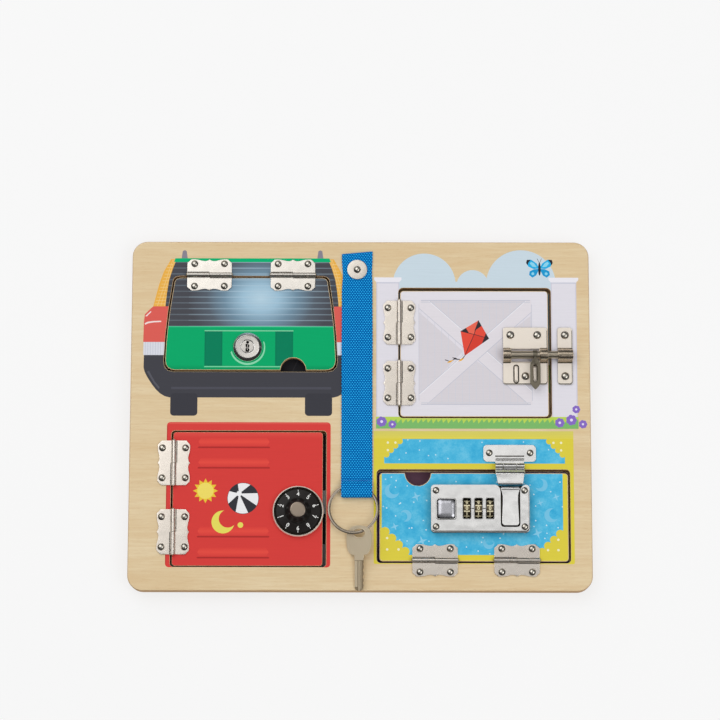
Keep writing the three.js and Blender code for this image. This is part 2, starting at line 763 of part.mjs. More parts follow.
function makeCarLock() {
  const { x, y } = CAR_LOCK;
  const barrelEnd = BACK_THICK + CAR_LOCK.camFloor + CAR_LOCK.camThick + RUN_CLEAR;
  const crown = FACE + CAR_LOCK.bezelHeight;
  const bezel = turned(
    [
      [0, barrelEnd],
      [CAR_LOCK.barrelRadius, barrelEnd],
      [CAR_LOCK.barrelRadius, FACE],
      [CAR_LOCK.bezelRadius, FACE],
      [CAR_LOCK.bezelRadius, crown - CAR_LOCK.bezelCrown],
      [CAR_LOCK.bezelFaceRadius, crown],
      [0, crown],
    ],
    x,
    y,
    24,
  ).subtract(barZ(CAR_LOCK.bore, barrelEnd - OVERRUN, crown + OVERRUN, x, y, 16));
  add("car_lock_body", bezel, "nickel");

  const nut = barZ(CAR_LOCK.nutAcross / 2, DOOR_BACK - CAR_LOCK.nutThick, DOOR_BACK, x, y, 6).subtract(
    barZ(
      CAR_LOCK.barrelRadius + RUN_CLEAR,
      DOOR_BACK - CAR_LOCK.nutThick - OVERRUN,
      DOOR_BACK + OVERRUN,
      x,
      y,
      24,
    ),
  );
  add("car_lock_nut", nut, "nickel");

  const plugTop = crown - CAR_LOCK.plugRecess;
  const slotHalf = CAR_LOCK.keyholeWidth / 2;
  const slotTall = CAR_LOCK.keyholeLength / 2;
  const camTop = BACK_THICK + CAR_LOCK.camFloor + CAR_LOCK.camThick;
  const plug = barZ(CAR_LOCK.plugRadius, camTop, plugTop, x, y, 16).subtract(
    block(
      x - slotHalf,
      x + slotHalf,
      y - slotTall,
      y + slotTall,
      plugTop - CAR_LOCK.keyholeDepth,
      plugTop + OVERRUN,
    ),
  );
  add("car_lock_plug", plug, "nickel");

  const cam = camPlate(
    x,
    y,
    CAR_LOCK.camLength,
    CAR_LOCK.camWidth,
    camTop - CAR_LOCK.camThick,
    CAR_LOCK.camThick,
  ).add(
    barZ(
      CAR_LOCK.screwRadius,
      camTop - CAR_LOCK.camThick - CAR_LOCK.screwHead,
      camTop - CAR_LOCK.camThick / 2,
      x,
      y,
      12,
    ),
  );
  add("car_lock_cam", cam, "nickel");
}

// The raised strap that a bolt slides through, as a bent sheet standing on its plate
function boltStrap(from, to) {
  const inner = BOLT.rodRadius + BOLT.strapClear;
  const outer = inner + BOLT.strapWall;
  const base = FACE + BOLT.thick;
  const crown = new THREE.Shape();
  crown.moveTo(BOLT.rodY - outer, base - BOLT.thick / 2);
  crown.lineTo(BOLT.rodY + outer, base - BOLT.thick / 2);
  crown.lineTo(BOLT.rodY + outer, BOLT_AXIS_Z);
  crown.absarc(BOLT.rodY, BOLT_AXIS_Z, outer, 0, Math.PI);
  const tunnel = new THREE.Shape();
  tunnel.moveTo(BOLT.rodY - inner, base);
  tunnel.lineTo(BOLT.rodY + inner, base);
  tunnel.lineTo(BOLT.rodY + inner, BOLT_AXIS_Z);
  tunnel.absarc(BOLT.rodY, BOLT_AXIS_Z, inner, 0, Math.PI);
  const along = (shape, x0, x1) => {
    const geometry = new THREE.ExtrudeGeometry(
      shape,
      { depth: x1 - x0, bevelEnabled: false, curveSegments: 6 },
    );
    return solid(geometry.rotateX(Math.PI / 2).rotateZ(Math.PI / 2).translate(x0, 0, 0));
  };
  const foot = block(
    from,
    to,
    BOLT.rodY - BOLT.footReach,
    BOLT.rodY + BOLT.footReach,
    base - BOLT.thick / 2,
    base + BOLT.footThick,
  );
  return along(crown, from, to)
    .add(foot)
    .subtract(along(tunnel, from - OVERRUN, to + OVERRUN));
}

// A staple pressed up out of the bolt's plate
function staple(x) {
  const base = FACE + BOLT.thick / 2;
  const top = FACE + BOLT.thick + BOLT.stapleRise;
  const half = BOLT.stapleWidth / 2;
  const body = block(x - half, x + half, BOLT.stapleLow, BOLT.stapleHigh, base, top);
  return body.subtract(
    block(
      x - half - OVERRUN,
      x + half + OVERRUN,
      BOLT.stapleLow + 2 * BOLT.stapleThick,
      BOLT.stapleHigh - 2 * BOLT.stapleThick,
      FACE + BOLT.thick,
      top - BOLT.stapleThick,
    ),
  );
}

function makeBolt() {
  const top = FACE + BOLT.thick;
  let plate = prism(rounded(BOLT.plateLeft, BOLT.plateRight, BOLT.low, BOLT.high, BOLT.corner), FACE, top);
  const windowLeft = BOLT.plateLeft + BOLT.strapLength + BOLT.windowMargin;
  const windowRight = BOLT.plateRight - BOLT.strapLength - BOLT.windowMargin;
  plate = plate.subtract(
    block(
      windowLeft,
      windowRight,
      BOLT.rodY - BOLT.windowHalf,
      BOLT.rodY + BOLT.windowHalf,
      FACE - OVERRUN,
      top + OVERRUN,
    ),
  );
  plate = plate
    .add(boltStrap(BOLT.plateLeft, BOLT.plateLeft + BOLT.strapLength))
    .add(boltStrap(BOLT.plateRight - BOLT.strapLength, BOLT.plateRight))
    .add(staple(BOLT.tabX))
    .add(staple(BOLT.tabX - BOLT.travel));
  BOLT_RIVETS.forEach(([x, y]) => {
    plate = plate.add(rivetHead(x, y, top, BOLT.rivetRadius, BOLT.rivetHeight));
  });
  add("bolt_plate", plate, "nickel");

  const keeperMiddle = (BOLT.keeperLeft + BOLT.keeperRight) / 2;
  let keeper = prism(
    rounded(BOLT.keeperLeft, BOLT.keeperRight, BOLT.low, BOLT.high, BOLT.corner),
    FACE,
    top,
  );
  keeper = keeper.add(boltStrap(BOLT.keeperLeft, BOLT.keeperRight));
  [BOLT_RIVET_HIGH, BOLT_RIVET_LOW].forEach((y) => {
    keeper = keeper.add(rivetHead(keeperMiddle, y, top, BOLT.rivetRadius, BOLT.rivetHeight));
  });
  add("bolt_keeper", keeper, "nickel");

  const round = BOLT.rodEndRound;
  const rodProfile = [
    [0, BOLT.rodLeft],
    [BOLT.rodRadius - round / 2, BOLT.rodLeft],
    [BOLT.rodRadius, BOLT.rodLeft + round / 2],
    [BOLT.rodRadius, BOLT.rodRight - round],
    [BOLT.rodRadius - round / 3, BOLT.rodRight - round / 3],
    [BOLT.rodRadius - round, BOLT.rodRight],
    [0, BOLT.rodRight],
  ].map(([r, x]) => new THREE.Vector2(r, x));
  const rodShape = new THREE.LatheGeometry(
    rodProfile,
    16,
  ).rotateZ(-Math.PI / 2).translate(0, BOLT.rodY, BOLT_AXIS_Z);
  add("bolt_rod", solid(rodShape), "nickel");

  const half = BOLT.tabWidth / 2;
  const tabTop = BOLT.rodY + BOLT.rodRadius;
  const x = BOLT.tabX;
  const tabShape = outline([
    [x, BOLT.tabEnd],
    [x + half, BOLT.tabEnd + BOLT.tabPoint],
    [x + half, BOLT.rodY - BOLT.collarRadius - BOLT.tabPoint / 3],
    [x + half / 2, BOLT.rodY],
    [x + half / 2, tabTop],
    [x - half / 2, tabTop],
    [x - half / 2, BOLT.rodY],
    [x - half, BOLT.rodY - BOLT.collarRadius - BOLT.tabPoint / 3],
    [x - half, BOLT.tabEnd + BOLT.tabPoint],
  ]);
  const tabHalf = BOLT.tabThick / 2;
  const slot = rounded(
    x - BOLT.tabSlotHalf,
    x + BOLT.tabSlotHalf,
    BOLT.tabSlotLow,
    BOLT.tabSlotHigh,
    BOLT.tabSlotHalf - RUN_CLEAR,
  );
  const tab = prism(tabShape, BOLT_AXIS_Z - tabHalf, BOLT_AXIS_Z + tabHalf)
    .subtract(prism(slot, BOLT_AXIS_Z - tabHalf - OVERRUN, BOLT_AXIS_Z + tabHalf + OVERRUN, 3))
    .add(barX(BOLT.collarRadius, x - half / 2, x + half / 2, BOLT.rodY, BOLT_AXIS_Z, 16))
    .subtract(
      barX(BOLT.rodRadius + RUN_CLEAR, x - half - OVERRUN, x + half + OVERRUN, BOLT.rodY, BOLT_AXIS_Z, 16),
    );
  add("bolt_tab", tab, "nickel");
}

function makeDial() {
  const { x, y, sides } = DIAL;
  const rimTop = FACE + DIAL.rimHeight;
  const floor = FACE + DIAL.floorThick;
  const housing = turned(
    [
      [0, FACE],
      [DIAL.rimRadius, FACE],
      [DIAL.rimRadius, rimTop - DIAL.rimRound],
      [DIAL.rimRadius - DIAL.rimRound, rimTop],
      [DIAL.rimInner, rimTop],
      [DIAL.rimInner, floor],
      [0, floor],
    ],
    x,
    y,
    sides,
  ).subtract(barZ(DIAL.spindleRadius + DIAL.spindleClear, FACE - OVERRUN, floor + OVERRUN, x, y, 12));
  add("dial_housing", housing, "nickel");

  const low = floor + RUN_CLEAR;
  const raised = FACE + DIAL.faceRaised;
  const disc = turned(
    [
      [0, low],
      [DIAL.faceRadius, low],
      [DIAL.faceRadius, FACE + DIAL.faceEdge],
      [DIAL.ringRadius, raised],
      [0, raised],
    ],
    x,
    y,
    sides,
  ).subtract(barZ(DIAL.spindleRadius, low - OVERRUN, raised + OVERRUN, x, y, 12));
  add("dial_face", disc, "black");

  const top = FACE + DIAL.height;
  const waist = raised + (top - raised) / 3;
  const knob = turned(
    [
      [0, raised],
      [DIAL.knobFoot, raised],
      [(DIAL.knobFoot + DIAL.knobTop) / 2, waist],
      [DIAL.knobTop, top - DIAL.knobRound],
      [DIAL.knobTop - DIAL.knobRound, top],
      [0, top],
    ],
    x,
    y,
    24,
  );
  add("dial_knob", knob, "nickel");

  const camLow = BACK_THICK + DIAL.camFloor;
  const cam = camPlate(x, y, DIAL.camLength, DIAL.camWidth, camLow, DIAL.camThick).add(
    barZ(DIAL.spindleRadius - RUN_CLEAR / 3, camLow + DIAL.camThick / 2, raised, x, y, 12),
  );
  add("dial_cam", cam, "nickel");
}

function makeLock() {
  const top = LOCK_TOP;
  const ease = LOCK.edgeRound;
  const chassisHalf = LOCK.windowLength / 2 + LOCK.chassisMargin;
  const chassisFloor = FACE - LOCK.chassisDepth;
  let body = prism(rounded(LOCK.left, LOCK.right, LOCK.low, LOCK.high, LOCK.corner), FACE, top - ease)
    .add(
      prism(
        rounded(
          LOCK.left + ease,
          LOCK.right - ease,
          LOCK.low + ease,
          LOCK.high - ease,
          LOCK.corner - ease,
        ),
        top - 2 * ease,
        top,
      ),
    )
    .add(
      block(
        WHEEL_MIDDLE - LOCK.chassisHalf,
        WHEEL_MIDDLE + LOCK.chassisHalf,
        LOCK.wheelY - chassisHalf,
        LOCK.wheelY + chassisHalf,
        chassisFloor,
        FACE + OVERRUN,
      ),
    );
  const windowHalf = LOCK.windowWidth / 2;
  const windowTall = LOCK.windowLength / 2;
  WHEEL_X.forEach((x) => {
    body = body.subtract(
      block(
        x - windowHalf,
        x + windowHalf,
        LOCK.wheelY - windowTall,
        LOCK.wheelY + windowTall,
        chassisFloor - OVERRUN,
        top + OVERRUN,
      ),
    );
  });
  const axleLeft = WHEEL_X[0] - windowHalf - LOCK.axleRadius;
  const axleRight = WHEEL_X[WHEEL_X.length - 1] + windowHalf + LOCK.axleRadius;
  body = body.subtract(
    barX(
      LOCK.axleRadius + RUN_CLEAR,
      axleLeft - RUN_CLEAR,
      axleRight + RUN_CLEAR,
      LOCK.wheelY,
      WHEEL_AXIS_Z,
      BORE_SIDES,
    ),
  );
  const wellX = LOCK.buttonWidth / 2 + LOCK.buttonClear;
  const wellY = LOCK.buttonLength / 2 + LOCK.buttonClear;
  body = body.subtract(
    block(
      BUTTON_X - wellX,
      BUTTON_X + wellX,
      BUTTON_Y - wellY,
      BUTTON_Y + wellY,
      FACE + RUN_CLEAR,
      top + OVERRUN,
    ),
  );
  const recessHalf = TONGUE.width / 2 + TONGUE.sideClear;
  body = body.subtract(
    block(
      TONGUE.middle - recessHalf,
      TONGUE.middle + recessHalf,
      TONGUE.endY - TONGUE.sideClear,
      LOCK.high + OVERRUN,
      top - TONGUE.recessDepth,
      top + OVERRUN,
    ),
  );
  const pinZ = top - TONGUE.pivotDrop;
  const pinHalf = recessHalf + TONGUE.pinReach;
  body = body.subtract(
    barX(
      TONGUE.pinBore,
      TONGUE.middle - pinHalf,
      TONGUE.middle + pinHalf,
      TONGUE.pivotY,
      pinZ,
      BORE_SIDES,
    ),
  );
  const rivetX = [LOCK.left + LOCK.rivetInsetX, LOCK.right - LOCK.rivetInsetX];
  const rivetY = [LOCK.low + LOCK.rivetInsetY, LOCK.high - LOCK.rivetInsetY];
  rivetX.forEach((x) => {
    rivetY.forEach((y) => {
      body = body.add(rivetHead(x, y, top, LOCK.rivetRadius, LOCK.rivetHeight));
    });
  });
  add("lock_case", body, "chrome");

  WHEEL_X.forEach((x, i) => {
    const half = LOCK.wheelWidth / 2;
    const wheel = barX(
      LOCK.wheelRadius,
      x - half,
      x + half,
      LOCK.wheelY,
      WHEEL_AXIS_Z,
      LOCK.wheelSides,
    ).subtract(
      barX(LOCK.wheelBore, x - half - OVERRUN, x + half + OVERRUN, LOCK.wheelY, WHEEL_AXIS_Z, BORE_SIDES),
    );
    add("lock_wheel_" + (i + 1), wheel, "chrome");
  });
  add(
    "lock_wheel_axle",
    barX(LOCK.axleRadius, axleLeft, axleRight, LOCK.wheelY, WHEEL_AXIS_Z, BORE_SIDES),
    "nickel",
  );

  const buttonTop = top + LOCK.buttonProud;
  const across = LOCK.buttonWidth / 2;
  const along = LOCK.buttonLength / 2;
  const bevel = LOCK.buttonBevel;
  const foot = FACE + LOCK.buttonFoot;
  const plain = block(
    BUTTON_X - across,
    BUTTON_X + across,
    BUTTON_Y - along,
    BUTTON_Y + along,
    foot,
    top + OVERRUN,
  );
  const crown = new THREE.CylinderGeometry(1, 1, buttonTop - top, 4, 1);
  const place = crown.getAttribute("position");
  for (let i = 0; i < place.count; i += 1) {
    // The four-sided drum turned by an eighth becomes a square block whose upper face is drawn in
    const upper = place.getY(i) > 0;
    const angle = Math.atan2(place.getZ(i), place.getX(i)) + Math.PI / 4;
    const middle = Math.hypot(place.getX(i), place.getZ(i)) < 1 / 2;
    const wide = middle ? 0 : Math.SQRT2 * Math.cos(angle) * (upper ? across - bevel : across);
    const tall = middle ? 0 : Math.SQRT2 * Math.sin(angle) * (upper ? along - bevel : along);
    place.setXYZ(i, wide, -tall, place.getY(i));
  }
  const crownSolid = solid(crown.translate(BUTTON_X, BUTTON_Y, (buttonTop - top) / 2 + top + OVERRUN / 2));
  add("lock_button", plain.add(crownSolid), "chrome");

  const half = TONGUE.width / 2;
  const plateTop = top + TONGUE.top;
  const tongueShape = rounded(
    TONGUE.middle - half,
    TONGUE.middle + half,
    TONGUE.endY,
    TONGUE.pivotY + TONGUE.corner,
    TONGUE.corner,
  );
  const square = block(
    TONGUE.middle - half,
    TONGUE.middle + half,
    TONGUE.pivotY - TONGUE.corner,
    TONGUE.pivotY,
    plateTop - TONGUE.thick,
    plateTop,
  );
  const cutBeyond = block(
    TONGUE.middle - half - OVERRUN,
    TONGUE.middle + half + OVERRUN,
    TONGUE.pivotY,
    TONGUE.pivotY + TONGUE.corner + OVERRUN,
    plateTop - TONGUE.thick - OVERRUN,
    plateTop + OVERRUN,
  );
  const tongue = prism(tongueShape, plateTop - TONGUE.thick, plateTop)
    .subtract(cutBeyond)
    .add(square)
    .add(barX(TONGUE.knuckleRadius, TONGUE.middle - half, TONGUE.middle + half, TONGUE.pivotY, pinZ, 16))
    .subtract(
      barX(
        TONGUE.pinBore,
        TONGUE.middle - half - OVERRUN,
        TONGUE.middle + half + OVERRUN,
        TONGUE.pivotY,
        pinZ,
        BORE_SIDES,
      ),
    );
  add("lock_tongue", tongue, "chrome");
  const pinEnd = pinHalf - RUN_CLEAR;
  add(
    "lock_tongue_pin",
    barX(
      TONGUE.pinRadius,
      TONGUE.middle - pinEnd,
      TONGUE.middle + pinEnd,
      TONGUE.pivotY,
      pinZ,
      BORE_SIDES,
    ),
    "nickel",
  );
}

function makeHasp() {
  const x = HASP.middle;
  const plateTop = FACE + HASP.plateThick;
  const axisZ = FACE + HASP.axisLift;
  let plate = prism(
    rounded(x - HASP.plateHalf, x + HASP.plateHalf, HASP.plateLow, HASP.plateHigh, HASP.corner),
    FACE,
    plateTop,
  );
  plate = plate.add(
    barX(HASP.ridgeRadius, x - HASP.halfSpan, x + HASP.halfSpan, HASP.ridgeY, plateTop, 12),
  );
  [-1, 1].forEach((side) => {
    const inner = x + side * (HASP.middleHalf + HASP.seam);
    const outer = x + side * HASP.halfSpan;
    const from = Math.min(inner, outer);
    const to = Math.max(inner, outer);
    plate = plate
      .add(block(from, to, HASP.axisY, HASP.plateLow + OVERRUN, FACE, plateTop))
      .add(barX(HASP.knuckleRadius, from, to, HASP.axisY, axisZ, 16))
      .subtract(barX(HASP.bore, from - OVERRUN, to + OVERRUN, HASP.axisY, axisZ, BORE_SIDES));
    plate = plate.add(
      rivetHead(x + side * HASP.rivetOut, HASP.rivetY, plateTop, HASP.rivetRadius, HASP.rivetHeight),
    );
  });
  plate = plate.subtract(
    block(
      x - HASP.plateHalf,
      x + HASP.plateHalf,
      HASP.plateLow,
      HASP.plateHigh,
      FACE - 2 * HASP.ridgeRadius,
      FACE,
    ),
  );
  add("strike_plate", plate, "chrome");

  const low = FACE + HASP.armRootLift;
  const high = FACE + HASP.armTipLift;
  const thick = HASP.armThick;
  const kneeY = HASP.armKneeY;
  const rootY = HASP.axisY - HASP.knuckleRadius / 2;
  const profile = outline([
    [rootY, low],
    [rootY, low + thick],
    [kneeY, high + thick],
    [HASP.armTipY, high + thick],
    [HASP.armTipY, high],
    [kneeY, high],
    [HASP.axisY - HASP.knuckleRadius - thick, low],
  ]);
  const sheet = new THREE.ExtrudeGeometry(profile, { depth: 2 * HASP.armTopHalf, bevelEnabled: false });
  const armSheet = solid(
    sheet.rotateX(Math.PI / 2).rotateZ(Math.PI / 2).translate(x - HASP.armTopHalf, 0, 0),
  );
  const trim = outline([
    [x - HASP.armTipHalf, HASP.armTipY - OVERRUN],
    [x + HASP.armTipHalf, HASP.armTipY - OVERRUN],
    [x + HASP.armTopHalf, HASP.axisY - HASP.knuckleRadius - HASP.seam],
    [x + HASP.middleHalf, HASP.axisY - HASP.knuckleRadius - HASP.seam],
    [x + HASP.middleHalf, HASP.axisY],
    [x - HASP.middleHalf, HASP.axisY],
    [x - HASP.middleHalf, HASP.axisY - HASP.knuckleRadius - HASP.seam],
    [x - HASP.armTopHalf, HASP.axisY - HASP.knuckleRadius - HASP.seam],
  ]);
  const arm = armSheet
    .intersect(prism(trim, FACE, high + thick + OVERRUN))
    .add(barX(HASP.knuckleRadius, x - HASP.middleHalf, x + HASP.middleHalf, HASP.axisY, axisZ, 16))
    .subtract(barX(HASP.bore, x - HASP.halfSpan, x + HASP.halfSpan, HASP.axisY, axisZ, BORE_SIDES));
  add("hasp_arm", arm, "chrome");
  add(
    "hasp_pin",
    barX(HASP.pinRadius, x - HASP.halfSpan, x + HASP.halfSpan, HASP.axisY, axisZ, BORE_SIDES),
    "nickel",
  );
}

function makeStrap() {
  const { left, right, thick, seam } = STRAP;
  const low = STRAP_LOW;
  const high = low + thick;
  const hole = barZ(
    STRAP.rivetShank + RUN_CLEAR,
    low - OVERRUN,
    high + OVERRUN,
    STRAP_MIDDLE,
    STRAP.washerY,
    12,
  );
  add("strap_top", block(left, right, STRAP.foldY, STRAP.top, low, high).subtract(hole), "webbing");
  add("strap_webbing", block(left, right, STRAP.hemY + seam, STRAP.foldY - seam, low, high), "webbing");
  const hemHigh = high + STRAP.channel + thick;
  const hem = block(left, right, STRAP.end, STRAP.hemY, low, hemHigh)
    .subtract(
      block(
        left - OVERRUN,
        right + OVERRUN,
        STRAP.end + thick,
        STRAP.hemY - thick,
        high,
        high + STRAP.channel,
      ),
    );
  add("strap_hem", hem, "webbing");

  const washerLow = high + RUN_CLEAR;
  const washerTop = washerLow + STRAP.washerThick;
  const washer = barZ(STRAP.washerRadius, washerLow, washerTop, STRAP_MIDDLE, STRAP.washerY, 24).subtract(
    barZ(STRAP.washerBore, washerLow - OVERRUN, washerTop + OVERRUN, STRAP_MIDDLE, STRAP.washerY, 12),
  );
  add("strap_washer", washer, "nickel");
  const rivet = rivetHead(
    STRAP_MIDDLE,
    STRAP.washerY,
    washerTop + STRAP.rivetHeight / 4,
    STRAP.rivetRadius,
    STRAP.rivetHeight,
    16,
  ).add(
    barZ(
      STRAP.rivetShank,
      FACE - STRAP.shankDepth,
      washerTop + STRAP.rivetHeight / 2,
      STRAP_MIDDLE,
      STRAP.washerY,
      12,
    ),
  );
  add("strap_rivet", rivet, "nickel");
}

// The ring lies almost flat and rises a little towards the key
const RING_TILT = Math.asin(RING.rise / (2 * RING.radius));

function ringPoint(angle) {
  const point = new THREE.Vector3(RING.radius * Math.cos(angle), RING.radius * Math.sin(angle), 0);
  point.applyAxisAngle(new THREE.Vector3(1, 0, 0), -RING_TILT);
  return point.add(new THREE.Vector3(RING.x, RING.y, RING_WIRE_Z + RING.rise / 2));
}

function makeRing() {
  const torus = new THREE.TorusGeometry(RING.radius, RING.wire, RING.sides, RING.steps);
  torus.rotateX(-RING_TILT).translate(RING.x, RING.y, RING_WIRE_Z + RING.rise / 2);
  add("key_ring", solid(torus), "nickel");
}

function keyOutline() {
  const { headHalf, headLength, headCorner, neckHalf, bladeHalf, bladeLength, bladeTip, holeDrop } = KEY;
  const top = holeDrop;
  const base = top - headLength;
  const tip = base - KEY.shoulder - bladeLength;
  const shape = new THREE.Shape();
  shape.moveTo(neckHalf, base);
  shape.quadraticCurveTo(headHalf, base, headHalf, base + headLength / 2);
  shape.lineTo(headHalf, top - headCorner);
  shape.quadraticCurveTo(headHalf, top, headHalf - headCorner, top);
  shape.lineTo(-headHalf + headCorner, top);
  shape.quadraticCurveTo(-headHalf, top, -headHalf, top - headCorner);
  shape.lineTo(-headHalf, base + headLength / 2);
  shape.quadraticCurveTo(-headHalf, base, -neckHalf, base);
  shape.lineTo(-neckHalf, base - KEY.shoulder);
  shape.lineTo(-bladeHalf, base - KEY.shoulder);
  shape.lineTo(-bladeHalf, tip + bladeTip);
  shape.lineTo(-bladeHalf + bladeTip, tip);
  shape.lineTo(bladeHalf - bladeTip, tip);
  // The cut edge of the blade
  const steps = KEY.cutDepthShares.length;
  KEY.cutDepthShares.forEach((share, i) => {
    const y = tip + bladeTip + ((bladeLength - 2 * bladeTip) * (i + 1 / 2)) / steps;
    shape.lineTo(bladeHalf - bladeHalf * share, y);
  });
  shape.lineTo(bladeHalf, base - KEY.shoulder);
  shape.lineTo(neckHalf, base - KEY.shoulder);
  const { holeHalf, holeTall } = KEY;
  const hole = new THREE.Path();
  hole.absellipse(0, 0, holeHalf, holeTall, 0, 2 * Math.PI);
  shape.holes.push(hole);
  return shape;
}

function makeKey() {
  const angle = -Math.acos((KEY.x - RING.x) / RING.radius);
  const at = ringPoint(angle);
  const geometry = new THREE.ExtrudeGeometry(
    keyOutline(),
    { depth: KEY.thick, bevelEnabled: false, curveSegments: 6 },
  );
  geometry.translate(0, -KEY.hang, -KEY.thick / 2).rotateY(-KEY.roll).rotateX(KEY.pitch);
  add("key", solid(geometry.translate(at.x, at.y, at.z)), "brass");
}

makeBoard();
makeDoors();
makeHinges();
makeCarLock();
makeBolt();
makeDial();
makeLock();
makeHasp();
makeStrap();
makeRing();
makeKey();

export default board;
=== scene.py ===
import math

import bmesh
import bpy
from mathutils import Matrix, Vector
from mathutils.geometry import delaunay_2d_cdt


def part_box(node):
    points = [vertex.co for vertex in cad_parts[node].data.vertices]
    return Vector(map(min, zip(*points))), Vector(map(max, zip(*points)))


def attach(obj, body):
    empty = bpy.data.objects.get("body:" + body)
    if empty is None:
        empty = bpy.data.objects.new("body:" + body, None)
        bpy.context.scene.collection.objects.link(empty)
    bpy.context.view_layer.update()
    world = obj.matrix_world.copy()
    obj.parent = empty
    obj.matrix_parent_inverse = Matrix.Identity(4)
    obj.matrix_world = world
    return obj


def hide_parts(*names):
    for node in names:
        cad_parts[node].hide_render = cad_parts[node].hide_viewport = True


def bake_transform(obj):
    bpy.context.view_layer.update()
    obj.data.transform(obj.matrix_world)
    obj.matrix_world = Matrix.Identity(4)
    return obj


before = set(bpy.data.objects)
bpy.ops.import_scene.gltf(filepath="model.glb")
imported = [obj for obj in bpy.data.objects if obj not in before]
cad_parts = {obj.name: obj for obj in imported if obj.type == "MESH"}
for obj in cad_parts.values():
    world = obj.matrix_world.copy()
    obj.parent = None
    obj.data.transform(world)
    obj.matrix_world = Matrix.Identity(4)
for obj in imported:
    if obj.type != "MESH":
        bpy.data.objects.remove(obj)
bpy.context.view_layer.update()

MM = 0.001
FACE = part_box("front_frame")[1].z
FLOOR_OF_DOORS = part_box("back_board")[1].z
FILM = 0.06 * MM
FINE = 48


# Shader maths


class Value:
    """A number, colour or vector in a material: sums and products of it add Math nodes."""

    def __init__(self, shader, socket):
        self.shader = shader
        self.socket = socket

    def _maths(self, operation, *values):
        return self.shader.node("ShaderNodeMath", {"operation": operation}, values)

    def __add__(self, other):
        return self._maths("ADD", self, other)

    def __radd__(self, other):
        return self._maths("ADD", other, self)

    def __sub__(self, other):
        return self._maths("SUBTRACT", self, other)

    def __rsub__(self, other):
        return self._maths("SUBTRACT", other, self)

    def __mul__(self, other):
        return self._maths("MULTIPLY", self, other)

    def __rmul__(self, other):
        return self._maths("MULTIPLY", other, self)

    def __truediv__(self, other):
        return self._maths("DIVIDE", self, other)

    def __rtruediv__(self, other):
        return self._maths("DIVIDE", other, self)

    def __lt__(self, other):
        return self._maths("LESS_THAN", self, other)

    def __gt__(self, other):
        return self._maths("GREATER_THAN", self, other)

    def fold(self, pitch):
        """The distance from the nearest multiple of the pitch, from 0 to half of it."""
        return self._maths("PINGPONG", self, pitch / 2)

    def power(self, exponent):
        return self._maths("POWER", self, exponent)

    def size(self):
        return self._maths("ABSOLUTE", self)

    def larger(self, other):
        return self._maths("MAXIMUM", self, other)


def set_stops(ramp, stops):
    """Gives a ramp its stops, each a place and a web colour or a grey."""
    points = ramp.elements
    while len(points) < len(stops):
        points.new(0.5)
    for point, (at, tone) in zip(points, stops):
        point.position = at
        point.color = (*shade(tone), 1) if isinstance(tone, str) else (tone, tone, tone, 1)


class Shader:
    """One material with a Principled surface, and the means to add nodes to it."""

    def __init__(self, name, **surface):
        self.material = bpy.data.materials.new(name)
        self.material.use_nodes = True
        self.tree = self.material.node_tree
        self.surface = self.tree.nodes["Principled BSDF"]
        self.place = None
        for socket, value in surface.items():
            self.set(socket.replace("_", " ").title().replace("Ior", "IOR"), value)

    def set(self, socket, value):
        self.feed(self.surface.inputs[socket], value)

    def feed(self, socket, value):
        if isinstance(value, Value):
            self.tree.links.new(value.socket, socket)
        elif isinstance(value, tuple) and len(value) == 3 and socket.type == "RGBA":
            socket.default_value = (*value, 1)
        else:
            socket.default_value = value

    def node(self, kind, settings=None, inputs=(), output=0):
        made = self.tree.nodes.new(kind)
        for setting, value in (settings or {}).items():
            if setting == "stops":
                set_stops(made.color_ramp, value)
            else:
                setattr(made, setting, value)
        pairs = inputs.items() if isinstance(inputs, dict) else enumerate(inputs)
        for key, value in pairs:
            self.feed(made.inputs[key], value)
        return Value(self, made.outputs[output])

    def where(self, scale=(1, 1, 1)):
        """The place on the object in millimetres, stretched."""
        if self.place is None:
            self.place = self.node("ShaderNodeTexCoord", output="Object")
        size = tuple(1 / MM * s for s in scale)
        return self.node("ShaderNodeMapping", inputs={"Vector": self.place, "Scale": size})

    def axes(self, vector):
        split = self.tree.nodes.new("ShaderNodeSeparateXYZ")
        self.feed(split.inputs[0], vector)
        return [Value(self, split.outputs[i]) for i in range(3)]

    def noise(self, vector, scale, detail=3.0, roughness=0.55):
        return self.node(
            "ShaderNodeTexNoise",
            inputs={"Vector": vector, "Scale": scale, "Detail": detail, "Roughness": roughness},
        )

    def ramp(self, value, stops):
        return self.node("ShaderNodeValToRGB", {"stops": stops}, [value])

    def mix(self, share, first, second, blend="MIX"):
        made = self.tree.nodes.new("ShaderNodeMix")
        made.data_type = "RGBA"
        made.blend_type = blend
        for index, value in ((0, share), (6, first), (7, second)):
            self.feed(made.inputs[index], value)
        return Value(self, made.outputs[2])

    def done(self, colour, roughness, relief, strength, depth):
        """Sets what changes over the surface, its relief in millimetres, and hands the material over."""
        self.set("Base Color", colour)
        self.set("Roughness", roughness)
        heights = {"Height": relief, "Strength": strength, "Distance": depth * MM}
        self.set("Normal", self.node("ShaderNodeBump", inputs=heights))
        return self.material


def shade(code):
    """A web colour as linear light."""
    values = [int(code[i : i + 2], 16) / 255 for i in (1, 3, 5)]
    return tuple(v / 12.92 if v <= 0.04045 else ((v + 0.055) / 1.055) ** 2.4 for v in values)


def scaled(colour, factor):
    return tuple(min(1, c * factor) for c in colour)


# Finishes


